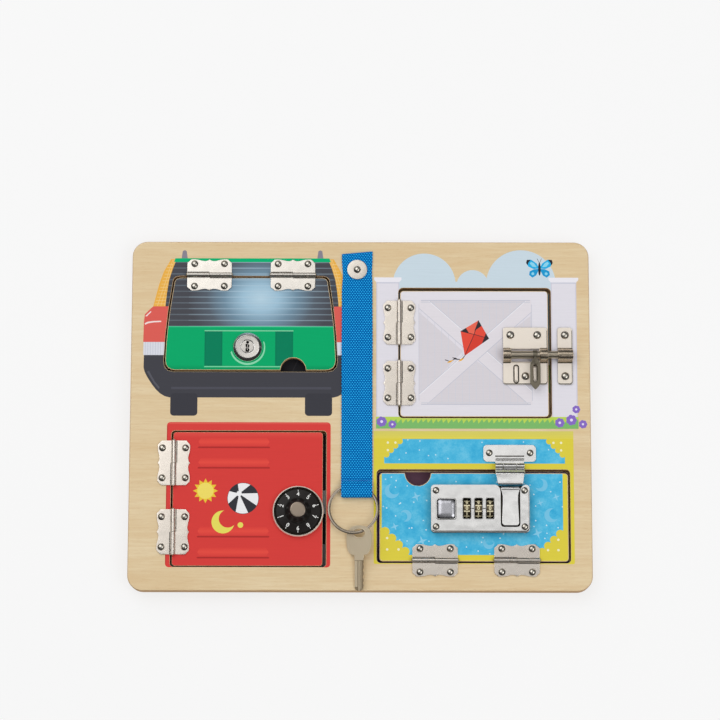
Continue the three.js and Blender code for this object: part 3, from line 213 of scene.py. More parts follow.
def plywood():
    """Pale beech plywood: a veneer with fine streaks on its faces, and stacked plies along its edges."""
    s = Shader("plywood", specular_ior_level=0.3)
    streak = s.noise(s.where((0.06, 1, 1)), 0.5, 6, 0.6)
    wide = s.noise(s.where((0.02, 0.25, 1)), 0.22, 2)
    pores = s.noise(s.where((0.12, 2.2, 1)), 1.1, 3, 0.7)
    tans = [(0.3, "#DDC094"), (0.48, "#E2C99F"), (0.62, "#E8D3AC"), (0.8, "#EEDCB9")]
    veneer = s.ramp(streak * 0.6 + wide * 0.4, tans)
    fleck = s.ramp(pores, [(0.0, 1.0), (0.34, 1.0), (0.42, 0.0), (1.0, 0.0)])
    veneer = s.mix(fleck * 0.3, veneer, shade("#C49C68"))
    _, _, height = s.axes(s.where())
    ply = (height.fold(3.1) > 0.78) * 0.8 + 0.1
    edge = s.mix(ply, shade("#B98A58"), shade("#DDB988"))
    edge = s.mix(s.noise(s.where((0.5, 0.5, 4)), 1.0, 4) * 0.5, edge, shade("#8E6238"))
    _, _, up = s.axes(s.node("ShaderNodeTexCoord", output="Normal"))
    wood = s.mix(up.size() > 0.5, edge, veneer)
    return s.done(wood, 0.48 + streak * 0.16, streak * 0.5 + pores * 0.5, 0.25, 0.1)


def print_ink():
    """The printed picture: the mesh holds its colours, and the veneer's streaks show through a little."""
    s = Shader("print_ink", specular_ior_level=0.08)
    ink = s.node("ShaderNodeAttribute", {"attribute_name": "ink"})
    streak = s.noise(s.where((0.05, 1.2, 1)), 0.8, 5, 0.6)
    speck = s.noise(s.where(), 2.4, 2)
    tone = 0.93 + streak * 0.1 + speck * 0.04
    return s.done(s.mix(1.0, ink, tone, "MULTIPLY"), 0.4 + streak * 0.16, streak, 0.12, 0.05)


def window_print():
    """The printed rear window: dark at its sides, a pale glow at its middle, and level lines across it."""
    s = Shader("window_print", specular_ior_level=0.08)
    middle_x, middle_y, half_wide, half_tall = -86.0, 101.0, 62.0, 46.0
    x, y, _ = s.axes(s.where())
    across = (x - middle_x) / half_wide
    along = (y - middle_y) / half_tall
    tones = [(0.0, "#BCD9E9"), (0.25, "#A3C6DB"), (0.5, "#7592A6"), (0.75, "#5A636E"), (1.0, "#4C4D54")]
    glow = s.ramp((across * across + along * along).power(0.5), tones)
    slow = s.noise(s.where((0.03, 0.4, 1)), 0.8, 2)
    line = s.ramp(y.fold(5.1) / 2.55 + slow * 0.2 - 0.1, [(0.0, 1.0), (0.1, 0.7), (0.26, 0.0), (1.0, 0.0)])
    fine = s.ramp(y.fold(1.4) / 0.7, [(0.0, 1.0), (0.7, 0.0)])
    near = s.ramp(across.size(), [(0.3, 1.0), (1.0, 0.5), (1.5, 0.3)])
    glow = s.mix(line * near * 0.62, glow, shade("#B5CFDF"))
    glow = s.mix(fine * 0.1, glow, shade("#2C3038"))
    return s.done(glow, 0.3 + slow * 0.15, slow, 0.1, 0.05)


def sky_print():
    """The printed blue of the box door: patches of two blues with small pale specks."""
    s = Shader("sky_print", specular_ior_level=0.08)
    patch = s.noise(s.where(), 0.09, 5, 0.62)
    grain = s.noise(s.where(), 0.9, 3, 0.7)
    blue = s.ramp(patch * 0.7 + grain * 0.3, [(0.36, "#3AAEDC"), (0.5, "#4FBCE4"), (0.66, "#72CCEC")])
    flat, cells = {"voronoi_dimensions": "2D"}, {"Vector": s.where(), "Scale": 0.085}
    dots, pick = [s.node("ShaderNodeTexVoronoi", flat, cells, kind) for kind in ("Distance", "Color")]
    share, _, _ = s.axes(pick)
    white = (dots < 0.05) * (share > 0.25)
    return s.done(s.mix(white * 0.75, blue, shade("#DDF2FA")), 0.34 + grain * 0.14, grain, 0.08, 0.05)


def metal(name, colour, roughness, brushed=0.0, wear=0.1, wave=0.06, metallic=1.0):
    """A plated metal with faint smears and waves, and brush lines where it is brushed."""
    s = Shader(name, metallic=metallic)
    smear = s.noise(s.where(), 0.13, 4, 0.6)
    grain = s.noise(s.where((0.3, 6, 6) if brushed else (2, 2, 2)), 1.2, 3, 0.6)
    swell = s.noise(s.where(), 0.09, 1)
    return s.done(
        s.mix(smear * wear * 2, shade(colour), scaled(shade(colour), 0.62)),
        roughness - 0.05 + smear * 0.1 + grain * (0.06 + brushed * 0.2),
        swell + grain * (0.006 + brushed * 0.12) / (wave * 16),
        0.3,
        wave,
    )


def turned_metal(name, colour, roughness, at):
    """A metal with the rings that a lathe leaves, about a middle given in millimetres."""
    s = Shader(name, metallic=1.0)
    x, y, _ = s.axes(s.where())
    across, along = x - at[0], y - at[1]
    radius = (across * across + along * along).power(0.5)
    ring = s.noise(s.node("ShaderNodeCombineXYZ", inputs=[radius, 0.0, 0.0]), 4.0, 4, 0.7)
    smear = s.noise(s.where(), 0.3, 3)
    tone = s.mix(ring * 0.5, shade(colour), scaled(shade(colour), 0.6))
    return s.done(tone, roughness - 0.06 + ring * 0.15 + smear * 0.06, ring, 0.2, 0.05)


def plastic(name, colour, roughness, gloss=0.35):
    s = Shader(name, specular_ior_level=gloss)
    grain = s.noise(s.where(), 1.6, 3)
    tone = s.mix(grain * 0.3, shade(colour), scaled(shade(colour), 1.3))
    return s.done(tone, roughness - 0.06 + grain * 0.12, grain, 0.05, 0.04)


def webbing():
    """Flat woven webbing: staggered loops on two blues, raised in the bump and painted paler at their
    crests and darker between them as painted highlight and shade, on the strap's own map in millimetres.
    """
    s = Shader("webbing", specular_ior_level=0.03)
    row_pitch, loop_pitch, half_wide, half_long = 1.55, 2.3, 0.9, 0.62
    place = s.node("ShaderNodeUVMap", {"uv_map": "weave"})
    across, along, _ = s.axes(place)
    row = s.node("ShaderNodeMath", {"operation": "FLOOR"}, [along / row_pitch + 0.5])
    odd = s.node("ShaderNodeMath", {"operation": "MODULO"}, [row, 2.0])
    loop_x = (across + odd * (loop_pitch / 2)).fold(loop_pitch) / half_wide
    loop_y = along.fold(row_pitch) / half_long
    loop = (1.0 - (loop_x * loop_x + loop_y * loop_y)).larger(0.0)
    fibre = s.noise(s.node("ShaderNodeMapping", inputs={"Vector": place, "Scale": (6.0, 1.5, 1.0)}), 1.0, 2)
    patch = s.noise(place, 0.12, 2)
    blues = [(0.1, "#00519C"), (0.3, "#0068B8"), (0.5, "#008CDE"), (0.85, "#38C6FF")]
    # The loops' height also picks the blue: painted highlight on their crests, painted shade between them
    tone = s.ramp(loop * 0.85 + fibre * 0.18 + patch * 0.14, blues)
    return s.done(tone, 0.7 + fibre * 0.2, loop + fibre * 0.15, 0.7, 0.3)


def thread():
    s = Shader("thread", sheen_weight=0.3)
    twist = s.noise(s.where((3, 3, 3)), 1.5, 2)
    tone = s.mix(twist, shade("#0A5DA8"), shade("#2C8FDB"))
    return s.done(tone, 0.7 + twist * 0.15, twist, 0.3, 0.1)


PLYWOOD = plywood()
INK = print_ink()
WINDOW = window_print()
SKY = sky_print()
HINGE_METAL = metal("hinge_nickel", "#FCF2E6", 0.25, wave=0.3)
# The car's hinges take a darker, greyer copy of the hinge nickel: painted shade that tones down the lamp's
# reflection on them
CAR_HINGE_SHADED_METAL = metal("car_hinge_nickel", "#EAE4DB", 0.25, wave=0.3)
PLATE_METAL = metal("bolt_nickel", "#FFF4E6", 0.27, wear=0.03, metallic=0.5)
WASHER_METAL = metal("washer_nickel", "#E9E1D6", 0.28)
SADDLE_METAL = metal("saddle_nickel", "#D6C6B0", 0.2, wear=0.03, wave=0.5)
ROD_METAL = metal("rod_steel", "#C9BDA9", 0.24, 0.6)
TAB_METAL = metal("tab_steel", "#8C8474", 0.35)
RIVET_METAL = metal("rivet_nickel", "#E2DCD0", 0.22)
# A dark metal that is mostly painted shade: on steep edges, in grooves, slots and recesses, and under the
# lock case; it also colours the dark dashes between the lock's windows
DARK_MARK_AND_SHADE_METAL = metal("groove_dark", "#4A443C", 0.5)
CASE_METAL = metal("case_chrome", "#FFFEFC", 0.14, 0.0, 0.04, 0.5)
BUTTON_METAL = metal("button_chrome", "#D4D4DA", 0.24, 0.0, 0.06, 0.5)
WHEEL_METAL = metal("wheel_brass", "#7E715A", 0.35)
RING_METAL = metal("ring_steel", "#A99D8D", 0.25)
# The darker metal of the blade's groove floors and thin cut edge: painted shade
KEY_GROOVE_PAINTED_SHADE = metal("key_groove", "#A08E72", 0.5, metallic=0.55)
KEY_METAL = metal("key_nickel", "#E8D8BA", 0.38, 0.4, metallic=0.55)
DIAL_BLACK = plastic("dial_black", "#1D1917", 0.34, 0.25)
KNOB_BLACK = plastic("knob_black", "#1C1B1A", 0.35)
FIGURE_WHITE = plastic("figure_white", "#E8E8E4", 0.45)
FIGURE_CREAM = plastic("figure_cream", "#E9DDB8", 0.45)
# Near-black for the inside of the keyhole: painted shade
HOLLOW_PAINTED_SHADE = plastic("hollow_dark", "#0C0B0A", 0.7)
WEBBING = webbing()
THREAD = thread()


# Meshes


def placed(name, data=None):
    """A new object in the scene: an empty mesh where no data is given."""
    piece = bpy.data.objects.new(name, data or bpy.data.meshes.new(name))
    bpy.context.scene.collection.objects.link(piece)
    return piece


def applied(piece):
    """A new mesh of the piece with its modifiers applied."""
    graph = bpy.context.evaluated_depsgraph_get()
    return bpy.data.meshes.new_from_object(piece.evaluated_get(graph))


def taken_back(holder):
    """The applied mesh of a helper object, to work on; the helper is removed."""
    result = applied(holder)
    bpy.data.objects.remove(holder)
    work = bmesh.new()
    work.from_mesh(result)
    bpy.data.meshes.remove(result)
    return work


def as_mesh(work, name):
    """Turns a mesh that is being worked on into a finished mesh."""
    mesh = bpy.data.meshes.new(name)
    work.to_mesh(mesh)
    work.free()
    return mesh


def merged(work, distance):
    bmesh.ops.remove_doubles(work, verts=work.verts, dist=distance)
    return work


def righted(work):
    """Turns every face outwards."""
    bmesh.ops.recalc_face_normals(work, faces=work.faces)
    return work


def coated(work, material):
    """Gives every face one of the piece's materials."""
    for face in work.faces:
        face.material_index = material
    return work


def weigh_normals(piece):
    """Keeps flat faces flat beside rounded edges."""
    weigh = piece.modifiers.new("weigh", "WEIGHTED_NORMAL")
    weigh.keep_sharp = True
    weigh.weight = 100
    result = applied(piece)
    piece.modifiers.clear()
    old, piece.data = piece.data, result
    bpy.data.meshes.remove(old)
    result.name = piece.name


def finished(name, work, materials, body, replaces=(), smooth=35):
    """Puts a mesh in the scene as a piece that rides on a body, or on none yet."""
    mesh = as_mesh(work, name)
    for material in materials if isinstance(materials, list) else [materials]:
        mesh.materials.append(material)
    if smooth:
        mesh.shade_smooth()
        mesh.set_sharp_from_angle(angle=math.radians(smooth))
    piece = placed(name, mesh)
    if smooth:
        weigh_normals(piece)
    if body:
        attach(piece, body)
    if replaces:
        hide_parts(*replaces)
    return piece


def arc(x, y, radius, start, end, steps):
    """Points on a circle from one angle in degrees to another, both ends included."""
    angles = [math.radians(start + (end - start) * i / steps) for i in range(steps + 1)]
    return [(x + radius * math.cos(a), y + radius * math.sin(a)) for a in angles]


def disc(x, y, radius, steps=40, tall=None):
    tall = radius if tall is None else tall
    turns = [2 * math.pi * i / steps for i in range(steps)]
    return [(x + radius * math.cos(a), y + tall * math.sin(a)) for a in turns]


def rounded(left, right, low, high, corner, steps=6):
    """A box outline with round corners."""
    x_low, x_high, y_low, y_high = left + corner, right - corner, low + corner, high - corner
    middles = ((x_high, y_low, -90), (x_high, y_high, 0), (x_low, y_high, 90), (x_low, y_low, 180))
    return [p for x, y, turn in middles for p in arc(x, y, corner, turn, turn + 90, steps)]


def box_outline(left, right, low, high):
    return [(left, low), (right, low), (right, high), (left, high)]


def about(x, y, half_wide, half_tall, corner=0.0, steps=6):
    """The outline of a box about a middle, with round corners where asked."""
    sides = (x - half_wide, x + half_wide, y - half_tall, y + half_tall)
    return rounded(*sides, corner, steps) if corner else box_outline(*sides)


def mirrored(points, middle=0.0):
    """The points on the other side of an upright line, in the order that carries on from them."""
    return [(2 * middle - x, y) for x, y in points[::-1]]


def band(points, width):
    """A stroke of even width along a line of points."""
    left, right = [], []
    for i, point in enumerate(points):
        before = Vector(points[max(0, i - 1)])
        after = Vector(points[min(len(points) - 1, i + 1)])
        along = (after - before).normalized()
        out = Vector((-along.y, along.x)) * width / 2
        left.append(tuple(Vector(point) + out))
        right.append(tuple(Vector(point) - out))
    return left + right[::-1]


def area(loop):
    """The area inside an outline, negative where it runs clockwise."""
    return sum(a[0] * b[1] - a[1] * b[0] for a, b in zip(loop, loop[1:] + loop[:1])) / 2


def facing(loop):
    """The outline, run anticlockwise."""
    return list(loop) if area(loop) > 0 else list(loop)[::-1]


def flat_faces(outer, holes=()):
    """Triangles that fill an outline and leave its holes open, as points and index triples."""
    loops = [facing(loop) for loop in (outer, *holes)]
    points, faces = [], []
    for loop in loops:
        start = len(points)
        points += [Vector(p) for p in loop]
        faces.append(list(range(start, start + len(loop))))
    made, _, triangles, _, _, owners = delaunay_2d_cdt(points, [], faces, 0, 1e-7, True)
    hole_numbers = set(range(1, len(loops)))
    kept = [t for t, owner in zip(triangles, owners) if 0 in owner and not hole_numbers.intersection(owner)]
    return made, kept


def slab(work, outer, low, high, holes=(), material=0):
    """Adds a flat plate with holes, closed, between two heights."""
    made, triangles = flat_faces(outer, holes)
    lower = [work.verts.new((p.x, p.y, low)) for p in made]
    upper = [work.verts.new((p.x, p.y, high)) for p in made]
    faces = []
    edges = {}
    for a, b, c in triangles:
        if (made[b] - made[a]).cross(made[c] - made[a]) < 0:
            b, c = c, b
        faces.append(work.faces.new((upper[a], upper[b], upper[c])))
        faces.append(work.faces.new((lower[c], lower[b], lower[a])))
        for p, q in ((a, b), (b, c), (c, a)):
            edges[(p, q)] = True
    for p, q in edges:
        if (q, p) not in edges:
            faces.append(work.faces.new((upper[q], upper[p], lower[p], lower[q])))
    for face in faces:
        face.material_index = material
    return work


def turned(profile, x=0.0, y=0.0, steps=FINE, materials=None):
    """A turned shape about an upright line: the profile holds (radius, height) from axis to axis."""
    work = bmesh.new()
    rings = []
    for radius, height in profile:
        if radius < 1e-7:
            rings.append([work.verts.new((x, y, height))])
        else:
            rings.append([work.verts.new((px, py, height)) for px, py in disc(x, y, radius, steps)])
    for part, (below, above) in enumerate(zip(rings, rings[1:])):
        for i in range(steps):
            j = (i + 1) % steps
            corners = [
                below[i % len(below)], below[j % len(below)], above[j % len(above)], above[i % len(above)]
            ]
            unique = list(dict.fromkeys(corners))
            if len(unique) > 2:
                face = work.faces.new(unique)
                face.material_index = materials[part] if materials else 0
    return work


def bevelled(work, width, segments=2, angle=35, by_weight=False):
    """Softens every sharp edge of a mesh, or only its weighted ones."""
    holder = placed("work", as_mesh(merged(work, 1e-6), "work"))
    bevel = holder.modifiers.new("soften", "BEVEL")
    bevel.width = width
    bevel.segments = segments
    bevel.limit_method = "WEIGHT" if by_weight else "ANGLE"
    bevel.angle_limit = math.radians(angle)
    bevel.use_clamp_overlap = True
    return taken_back(holder)


def shift(x, y, z):
    return Matrix.Translation((x, y, z))


def turning(degrees, axis):
    return Matrix.Rotation(math.radians(degrees), 4, axis)


# Finishes of the CAD pieces that stay as they are


METALS = {
    "_leaf": HINGE_METAL,
    "_pin": ROD_METAL,
    "_cam": PLATE_METAL,
    "_nut": PLATE_METAL,
    "_axle": ROD_METAL,
}
for node_name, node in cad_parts.items():
    kinds = [metal_finish for part, metal_finish in METALS.items() if part in node_name]
    node.data.materials.clear()
    node.data.materials.append(kinds[0] if kinds else PLYWOOD)


# Wooden pieces with softened edges


def softened(name, width, body):
    """A copy of a CAD piece whose sharp edges are rounded over."""
    work = bmesh.new()
    work.from_mesh(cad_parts[name].data)
    merged(work, 1e-6)
    nearly_flat = math.radians(0.5)
    bmesh.ops.dissolve_limit(work, angle_limit=nearly_flat, verts=work.verts, edges=work.edges)
    return finished(name + "_wood", bevelled(work, width, 3), PLYWOOD, body, [name])


def top_loops(piece, height):
    """The outlines of a piece's flat face at a height, in millimetres: the outer one first."""
    edges = {}
    mesh = piece.data
    for face in mesh.polygons:
        flat = all(abs(mesh.vertices[v].co.z - height) < 1e-5 for v in face.vertices)
        if flat and abs(face.normal.z) > 0.99:
            ring = list(face.vertices)
            for a, b in zip(ring, ring[1:] + ring[:1]):
                edges[(a, b)] = True
    after = {}
    for a, b in edges:
        if (b, a) not in edges:
            after[a] = b
    loops = []
    while after:
        start, following = after.popitem()
        loop = [start]
        while following != start:
            loop.append(following)
            following = after.pop(following)
        loops.append([tuple(mesh.vertices[v].co.xy / MM) for v in loop])
    return sorted(map(facing, loops), key=area, reverse=True)


def inset(loop, distance):
    """The outline moved inwards by a distance."""
    moved = []
    for i, point in enumerate(loop):
        before = Vector(loop[i - 1])
        after = Vector(loop[(i + 1) % len(loop)])
        along = (after - before).normalized()
        moved.append((point[0] - along.y * distance, point[1] + along.x * distance))
    return moved


SOFT = 0.6
FRAME_WOOD = softened("front_frame", SOFT * MM, "board")
softened("back_board", 0.4 * MM, "board")
PAINTS = {
    "car_door": "green_paint",
    "gate_door": "white_paint",
    "locker_door": "red_paint",
    "box_door": "blue_paint",
}
DOORS = {door: softened(door, SOFT * MM, door) for door, slot in PAINTS.items()}

FRAME_LOOPS = top_loops(FRAME_WOOD, FACE)


# The printed picture


class Print:
    """Flat areas of colour in millimetres, each laid over the ones before it."""

    def __init__(self):
        self.areas = []

    def area(self, outline, colour, material=0):
        self.areas.append((outline, shade(colour) if isinstance(colour, str) else colour, material))

    def line(self, points, width, colour):
        self.area(band(points, width), colour)

    def box(self, left, right, low, high, colour, material=0):
        self.area(box_outline(left, right, low, high), colour, material)

    def soft_box(self, left, right, low, high, corner, colour):
        self.area(rounded(left, right, low, high, corner), colour)

    def disc(self, x, y, radius, colour, steps=28, tall=None):
        self.area(disc(x, y, radius, steps, tall), colour)

    def both(self, middle, outline, colour):
        """An area and its mirror image about an upright line."""
        self.area(outline, colour)
        self.area([(2 * middle - x, y) for x, y in outline], colour)

    def whole(self, middle, half, colour, material=0):
        """An area whose left half is given, from its top round to its foot."""
        self.area(half + mirrored(half, middle), colour, material)

    def fade(self, left, right, low, high, colours, corner=0.0):
        """Level strips that pass through a row of colours from low to high."""
        steps = 8 * (len(colours) - 1)
        for i in range(steps):
            share = (i + 0.5) / steps * (len(colours) - 1)
            first, part = int(share), share - int(share)
            first_colour, next_colour = shade(colours[first]), shade(colours[first + 1])
            colour = tuple(a + (b - a) * part for a, b in zip(first_colour, next_colour))
            bottom = low + (high - low) * i / steps
            top = low + (high - low) * (i + 1) / steps
            end = corner * abs(2 * (i + 0.5) / steps - 1)
            self.box(left + end, right - end, bottom, top, colour)

    def lay(self, name, loops, height, body, slot=None):
        """Makes the film inside the first loop and outside the others; the area laid last shows."""
        points, faces = [], []
        for outline in loops + [outline for outline, _, _ in self.areas]:
            faces.append(list(range(len(points), len(points) + len(outline))))
            points += [Vector(p) for p in facing(outline)]
        first_area = len(loops)
        made, _, triangles, _, _, owners = delaunay_2d_cdt(points, [], faces, 0, 1e-4, True)
        work = bmesh.new()
        tone = work.loops.layers.float_color.new("ink")
        top = {}
        border = {}
        for (a, b, c), owner in zip(triangles, owners):
            laid = [o for o in owner if o >= first_area]
            if [o for o in owner if o < first_area] != [0] or not laid:
                continue
            _, colour, material = self.areas[max(laid) - first_area]
            if (made[b] - made[a]).cross(made[c] - made[a]) < 0:
                b, c = c, b
            for v in (a, b, c):
                if v not in top:
                    top[v] = work.verts.new((made[v].x * MM, made[v].y * MM, height + FILM))
            face = work.faces.new((top[a], top[b], top[c]))
            face.material_index = material
            for p, q in ((a, b), (b, c), (c, a)):
                border[(p, q)] = (colour, material)
            for corner in face.loops:
                corner[tone] = (*colour, 1)
        low = {}
        for (p, q), (colour, material) in border.items():
            if (q, p) in border:
                continue
            for v in (p, q):
                if v not in low:
                    low[v] = work.verts.new((made[v].x * MM, made[v].y * MM, height - FILM / 3))
            face = work.faces.new((top[q], top[p], low[p], low[q]))
            face.material_index = material
            for corner in face.loops:
                corner[tone] = (*colour, 1)
        return finished(name, work, [INK, WINDOW, SKY], body, smooth=0)


def daisy(page, x, y, radius, petals, colour, middle):
    """A flower of round petals."""
    for i in range(petals):
        turn = 2 * math.pi * i / petals
        spot = (x + 0.6 * radius * math.cos(turn), y + 0.6 * radius * math.sin(turn))
        page.disc(*spot, 0.42 * radius, colour, 14)
    page.disc(x, y, 0.28 * radius, middle, 12)


def crescent(x, y, radius, turn=0):
    """A moon: a large arc, and a smaller one about a middle half a radius away."""
    angle = math.radians(turn)
    hollow_x, hollow_y = x + 0.5 * radius * math.cos(angle), y + 0.5 * radius * math.sin(angle)
    outer = arc(x, y, radius, turn + 50, turn + 310, 22)
    return outer + arc(hollow_x, hollow_y, 0.78 * radius, turn + 282, turn + 78, 16)


def pointed(x, y, radius, inner, points, turn=90):
    """A star with a number of points."""
    outline = []
    for i in range(2 * points):
        size = radius if i % 2 == 0 else inner
        angle = math.radians(turn + 180 * i / points)
        outline.append((x + size * math.cos(angle), y + size * math.sin(angle)))
    return outline


# The car: roof, lamps and bumper on the frame, and a rear window and tailgate on its door
CAR_MIDDLE = -93.4
CAR_DARK, CAR_GREEN, CAR_PALE, LAMP_LINE = "#45464E", "#00AC6B", "#F6E3E0", "#F6D08A"
ROOF_STUD = [(-2.6, 136.0), (2.6, 136.0), (1.7, 142.4), (0.6, 143.2), (-0.6, 143.2), (-1.7, 142.4)]
page = Print()
for middle in (CAR_MIDDLE - 58.6, CAR_MIDDLE + 58.6):
    page.area([(middle + x, y) for x, y in ROOF_STUD], "#8B8794")
AMBER_LAMP = [
    (-163.6, 135.4), (-157.0, 135.4), (-162.0, 93.7), (-178.5, 93.7), (-176.3, 102.7), (-173.6, 113.3),
    (-169.7, 124.6),
]
RED_LAMP = [
    (-178.4, 93.8), (-164.0, 93.8), (-164.0, 62.6), (-186.6, 62.6), (-186.3, 80.0), (-185.6, 86.7),
    (-182.3, 90.2),
]
page.both(CAR_MIDDLE, AMBER_LAMP, "#EFB44E")
for share in (0.2, 0.38, 0.56):
    rib = band([(-178.3 + 16.5 * share, 94.0), (-163.4 + 6.6 * share, 135.0)], 0.4)
    page.both(CAR_MIDDLE, rib, LAMP_LINE)
for i in range(13):
    y = 96.0 + i * 2.9
    left = -177.9 + (y - 93.7) * 0.315
    page.both(CAR_MIDDLE, band([(left, y), (left + 9.3 - i * 0.42, y)], 0.45), LAMP_LINE)
DARK_SURROUND = [
    (-159.6, 133.4), (-162.2, 126.6), (-165.0, 117.3), (-166.7, 106.7), (-167.8, 96.0), (-168.2, 88.0)
]
page.whole(CAR_MIDDLE, DARK_SURROUND, CAR_DARK, 1)
page.area([(-159.9, 136.2), (-26.9, 136.2), (-25.6, 132.9), (-161.2, 132.9)], "#00B575")
page.both(CAR_MIDDLE, RED_LAMP, "#E06158")
LAMP_STRIPE = [(-185.6, 79.0), (-183.0, 80.3), (-178.0, 81.0), (-171.4, 81.2), (-171.4, 80.1)]
LAMP_STRIPE += [(-178.0, 79.7), (-182.8, 78.9), (-185.2, 77.6)]
page.both(CAR_MIDDLE, LAMP_STRIPE, CAR_PALE)
page.both(CAR_MIDDLE, [(-185.2, 85.2), (-180.6, 89.6), (-180.0, 89.0), (-183.9, 84.9)], CAR_PALE)
page.both(CAR_MIDDLE, box_outline(-186.4, -163.0, 51.2, 62.6), "#DDDFE8")
for i in range(9):
    x = -184.8 + i * 2.2
    page.both(CAR_MIDDLE, band([(x, 51.4), (x, 62.4)], 0.4), "#C3C6D4")
BUMPER = [
    (-185.8, 51.2), (-186.0, 40.6), (-185.0, 36.6), (-182.4, 31.6), (-178.3, 25.4), (-175.0, 21.2),
    (-171.4, 17.8), (-167.6, 15.5), (-163.4, 14.4),
]
page.whole(CAR_MIDDLE, BUMPER, "#45454C")
BUMPER_EDGE = [
    (-183.0, 36.6), (-177.0, 26.8), (-172.6, 21.6), (-172.0, 23.4), (-176.0, 28.0), (-181.4, 37.6)
]
page.both(CAR_MIDDLE, BUMPER_EDGE, "#5B5B64")
page.box(-162, -25, 21.5, 23.6, "#50505A")
for x in (CAR_MIDDLE - 57.6, CAR_MIDDLE + 57.6):
    page.soft_box(x - 11.6, x + 11.6, -1.4, 18.0, 3.0, "#3F3F46")
CAR_PAGE = page

page = Print()
page.box(-175, -15, 30, 125, CAR_DARK, 1)
page.box(-175, -15, 30, 76.3, CAR_GREEN)
page.box(-175, -15, 75.6, 76.4, "#3CCB90")
page.fade(-175, -15, 37.4, 43.0, ["#008F58", CAR_GREEN])
for x in (-133.9, -73.2):
    page.box(x, x + 15.3, 42.0, 72.2, "#007D58")
    page.box(x + 1.1, x + 14.2, 43.2, 71.0, "#00825C")
for y in (72.5, 41.2):
    page.line([(-134.0, y), (-57.6, y)], 0.9, "#7FD6A8")
page.area(arc(-96.9, 57.8, 15.1, 195, 380, 40) + arc(-96.9, 58.4, 14.0, 380, 195, 40), "#8FDDB4")
CAR_DOOR_PAGE = page

# The gate: clouds, posts, grass and flowers on the frame, and a braced door
page = Print()
CLOUD, GATE_WHITE, GATE_SHADE, GATE_PANEL = "#CDDDE7", "#E6E3EA", "#C8C8D4", "#DBD6DC"
for x, y, radius, steps in ((54.9, 113.7, 27.0, 60), (96.6, 112.4, 13.8, 44), (138.3, 113.8, 30.0, 60)):
    page.disc(x, y, radius, CLOUD, steps)
page.box(28.5, 167.5, 100, 116.0, CLOUD)
for left, right in ((13.6, 33.4), (164.0, 185.9)):
    page.box(left, right, -4.5, 116.5, "#E5E2EA")
    page.box(left, left + 0.9, -4.5, 114.8, "#D3D1DE")
    page.box(right - 0.9, right, -4.5, 114.8, "#D3D1DE")
    cap = [(left - 1.9, 119.6), (right + 1.9, 119.6), (right + 1.9, 117.6), (right, 115.4), (left, 115.4)]
    page.area(cap + [(left - 1.9, 117.6)], "#EFEDF4")
    page.box(left - 0.2, right + 0.2, 114.3, 115.4, "#CFD0DD")
GRASS_LEFT, GRASS_RIGHT, BLADES = 13.4, 186.4, 40
page.box(GRASS_LEFT, GRASS_RIGHT, -12.2, -3.2, "#80BE6E")
blades = [(GRASS_LEFT, -3.2)]
for i in range(BLADES):
    x = GRASS_LEFT + 173.0 * i / BLADES
    blades += [(x + 1.1, -6.8 - (i % 3) * 0.5), (x + 173.0 / BLADES, -3.9)]
page.area(blades + [(GRASS_RIGHT, -2.0), (GRASS_LEFT, -2.0)], "#BFD95A")
DAISIES = [
    (170.4, -7.0, 4.1), (180.4, -4.6, 4.6), (190.2, -8.2, 3.6), (18.2, -6.2, 4.4), (27.4, -8.6, 3.4),
    (184.6, 4.6, 3.4),
]
for spot in DAISIES:
    daisy(page, *spot, 7, "#8B6FC8", "#E9E2F6")


def butterfly(page, x, y, size):
    """Two pairs of blue wings with darker tips, and a slim body."""
    dark, pale = "#2E2C33", "#8FD9F3"
    upper = [(0, 0.5), (2.2, 4.4), (6.2, 7.2), (9.4, 7.0), (10.0, 4.6), (8.2, 1.8), (4.4, 0.0)]
    lower = [(0, 0.2), (4.2, -0.2), (7.4, -1.8), (7.8, -4.6), (5.4, -6.6), (2.6, -5.0)]
    tip = [(6.4, 7.1), (9.4, 7.0), (10.0, 4.6), (8.8, 2.8), (8.3, 4.8)]
    patch = [(2.0, 1.4), (4.0, 4.4), (6.2, 5.6), (7.2, 4.2), (5.2, 1.8)]
    for side in (-1, 1):
        for outline, colour in ((upper, "#27B1E6"), (lower, "#1F9BD3"), (tip, dark), (patch, pale)):
            page.area([(x + side * size * px, y + size * py) for px, py in outline], colour)
        page.disc(x + side * size * 5.0, y - size * 3.6, size * 1.1, pale)
        page.line([(x, y + size * 4.2), (x + side * size * 1.6, y + size * 8.0)], 0.35, dark)
    page.disc(x, y, size * 0.95, dark, tall=size * 5.0)


butterfly(page, 154.4, 127.2, 1.15)
GATE_PAGE = page

page = Print()
page.box(30, 165, -6, 112, "#E5E1E9")
for panel in (
    [(58.0, 99.3), (151.0, 99.3), (97.7, 55.0)],
    [(50.0, 89.6), (88.0, 55.0), (50.0, 14.0)],
    [(147.0, 86.5), (107.0, 55.0), (147.0, 18.0)],
    [(58.0, 8.8), (151.0, 8.8), (97.7, 48.0)],
):
    page.area(panel, GATE_PANEL)
for i in range(17):
    x = 52.0 + i * 5.9
    page.line([(x, 6.5), (x, 98.8)], 0.45, "#D5D5DF")
for ends in (((49, 101), (152, 9)), ((49, 9), (152, 101))):
    start, end = (Vector(p) for p in ends)
    side = (end - start).normalized()
    out = Vector((-side.y, side.x))
    page.line([tuple(start), tuple(end)], 11.6, "#CBCBD6")
    page.line([tuple(start), tuple(end)], 10.4, "#E5E0E6")
    page.line([tuple(start + out * 5.0), tuple(end + out * 5.0)], 0.5, "#F4F3F8")
for sides in (
    (30.0, 50.2, -6.0, 112.0), (147.2, 165.0, -6.0, 112.0), (30.0, 165.0, 99.6, 112.0),
    (30.0, 165.0, -6.0, 8.6),
):
    page.box(*sides, GATE_WHITE)
for y, colour in ((99.4, GATE_SHADE), (97.9, "#D2D2DC"), (8.8, GATE_SHADE), (10.2, "#D5D5DE")):
    page.line([(52.0, y), (146.0, y)], 0.8, colour)
for x in (50.2, 147.2):
    page.line([(x, 12.0), (x, 96.0)], 0.6, "#CFCFDA")


KITE_DARK = "#3A3438"


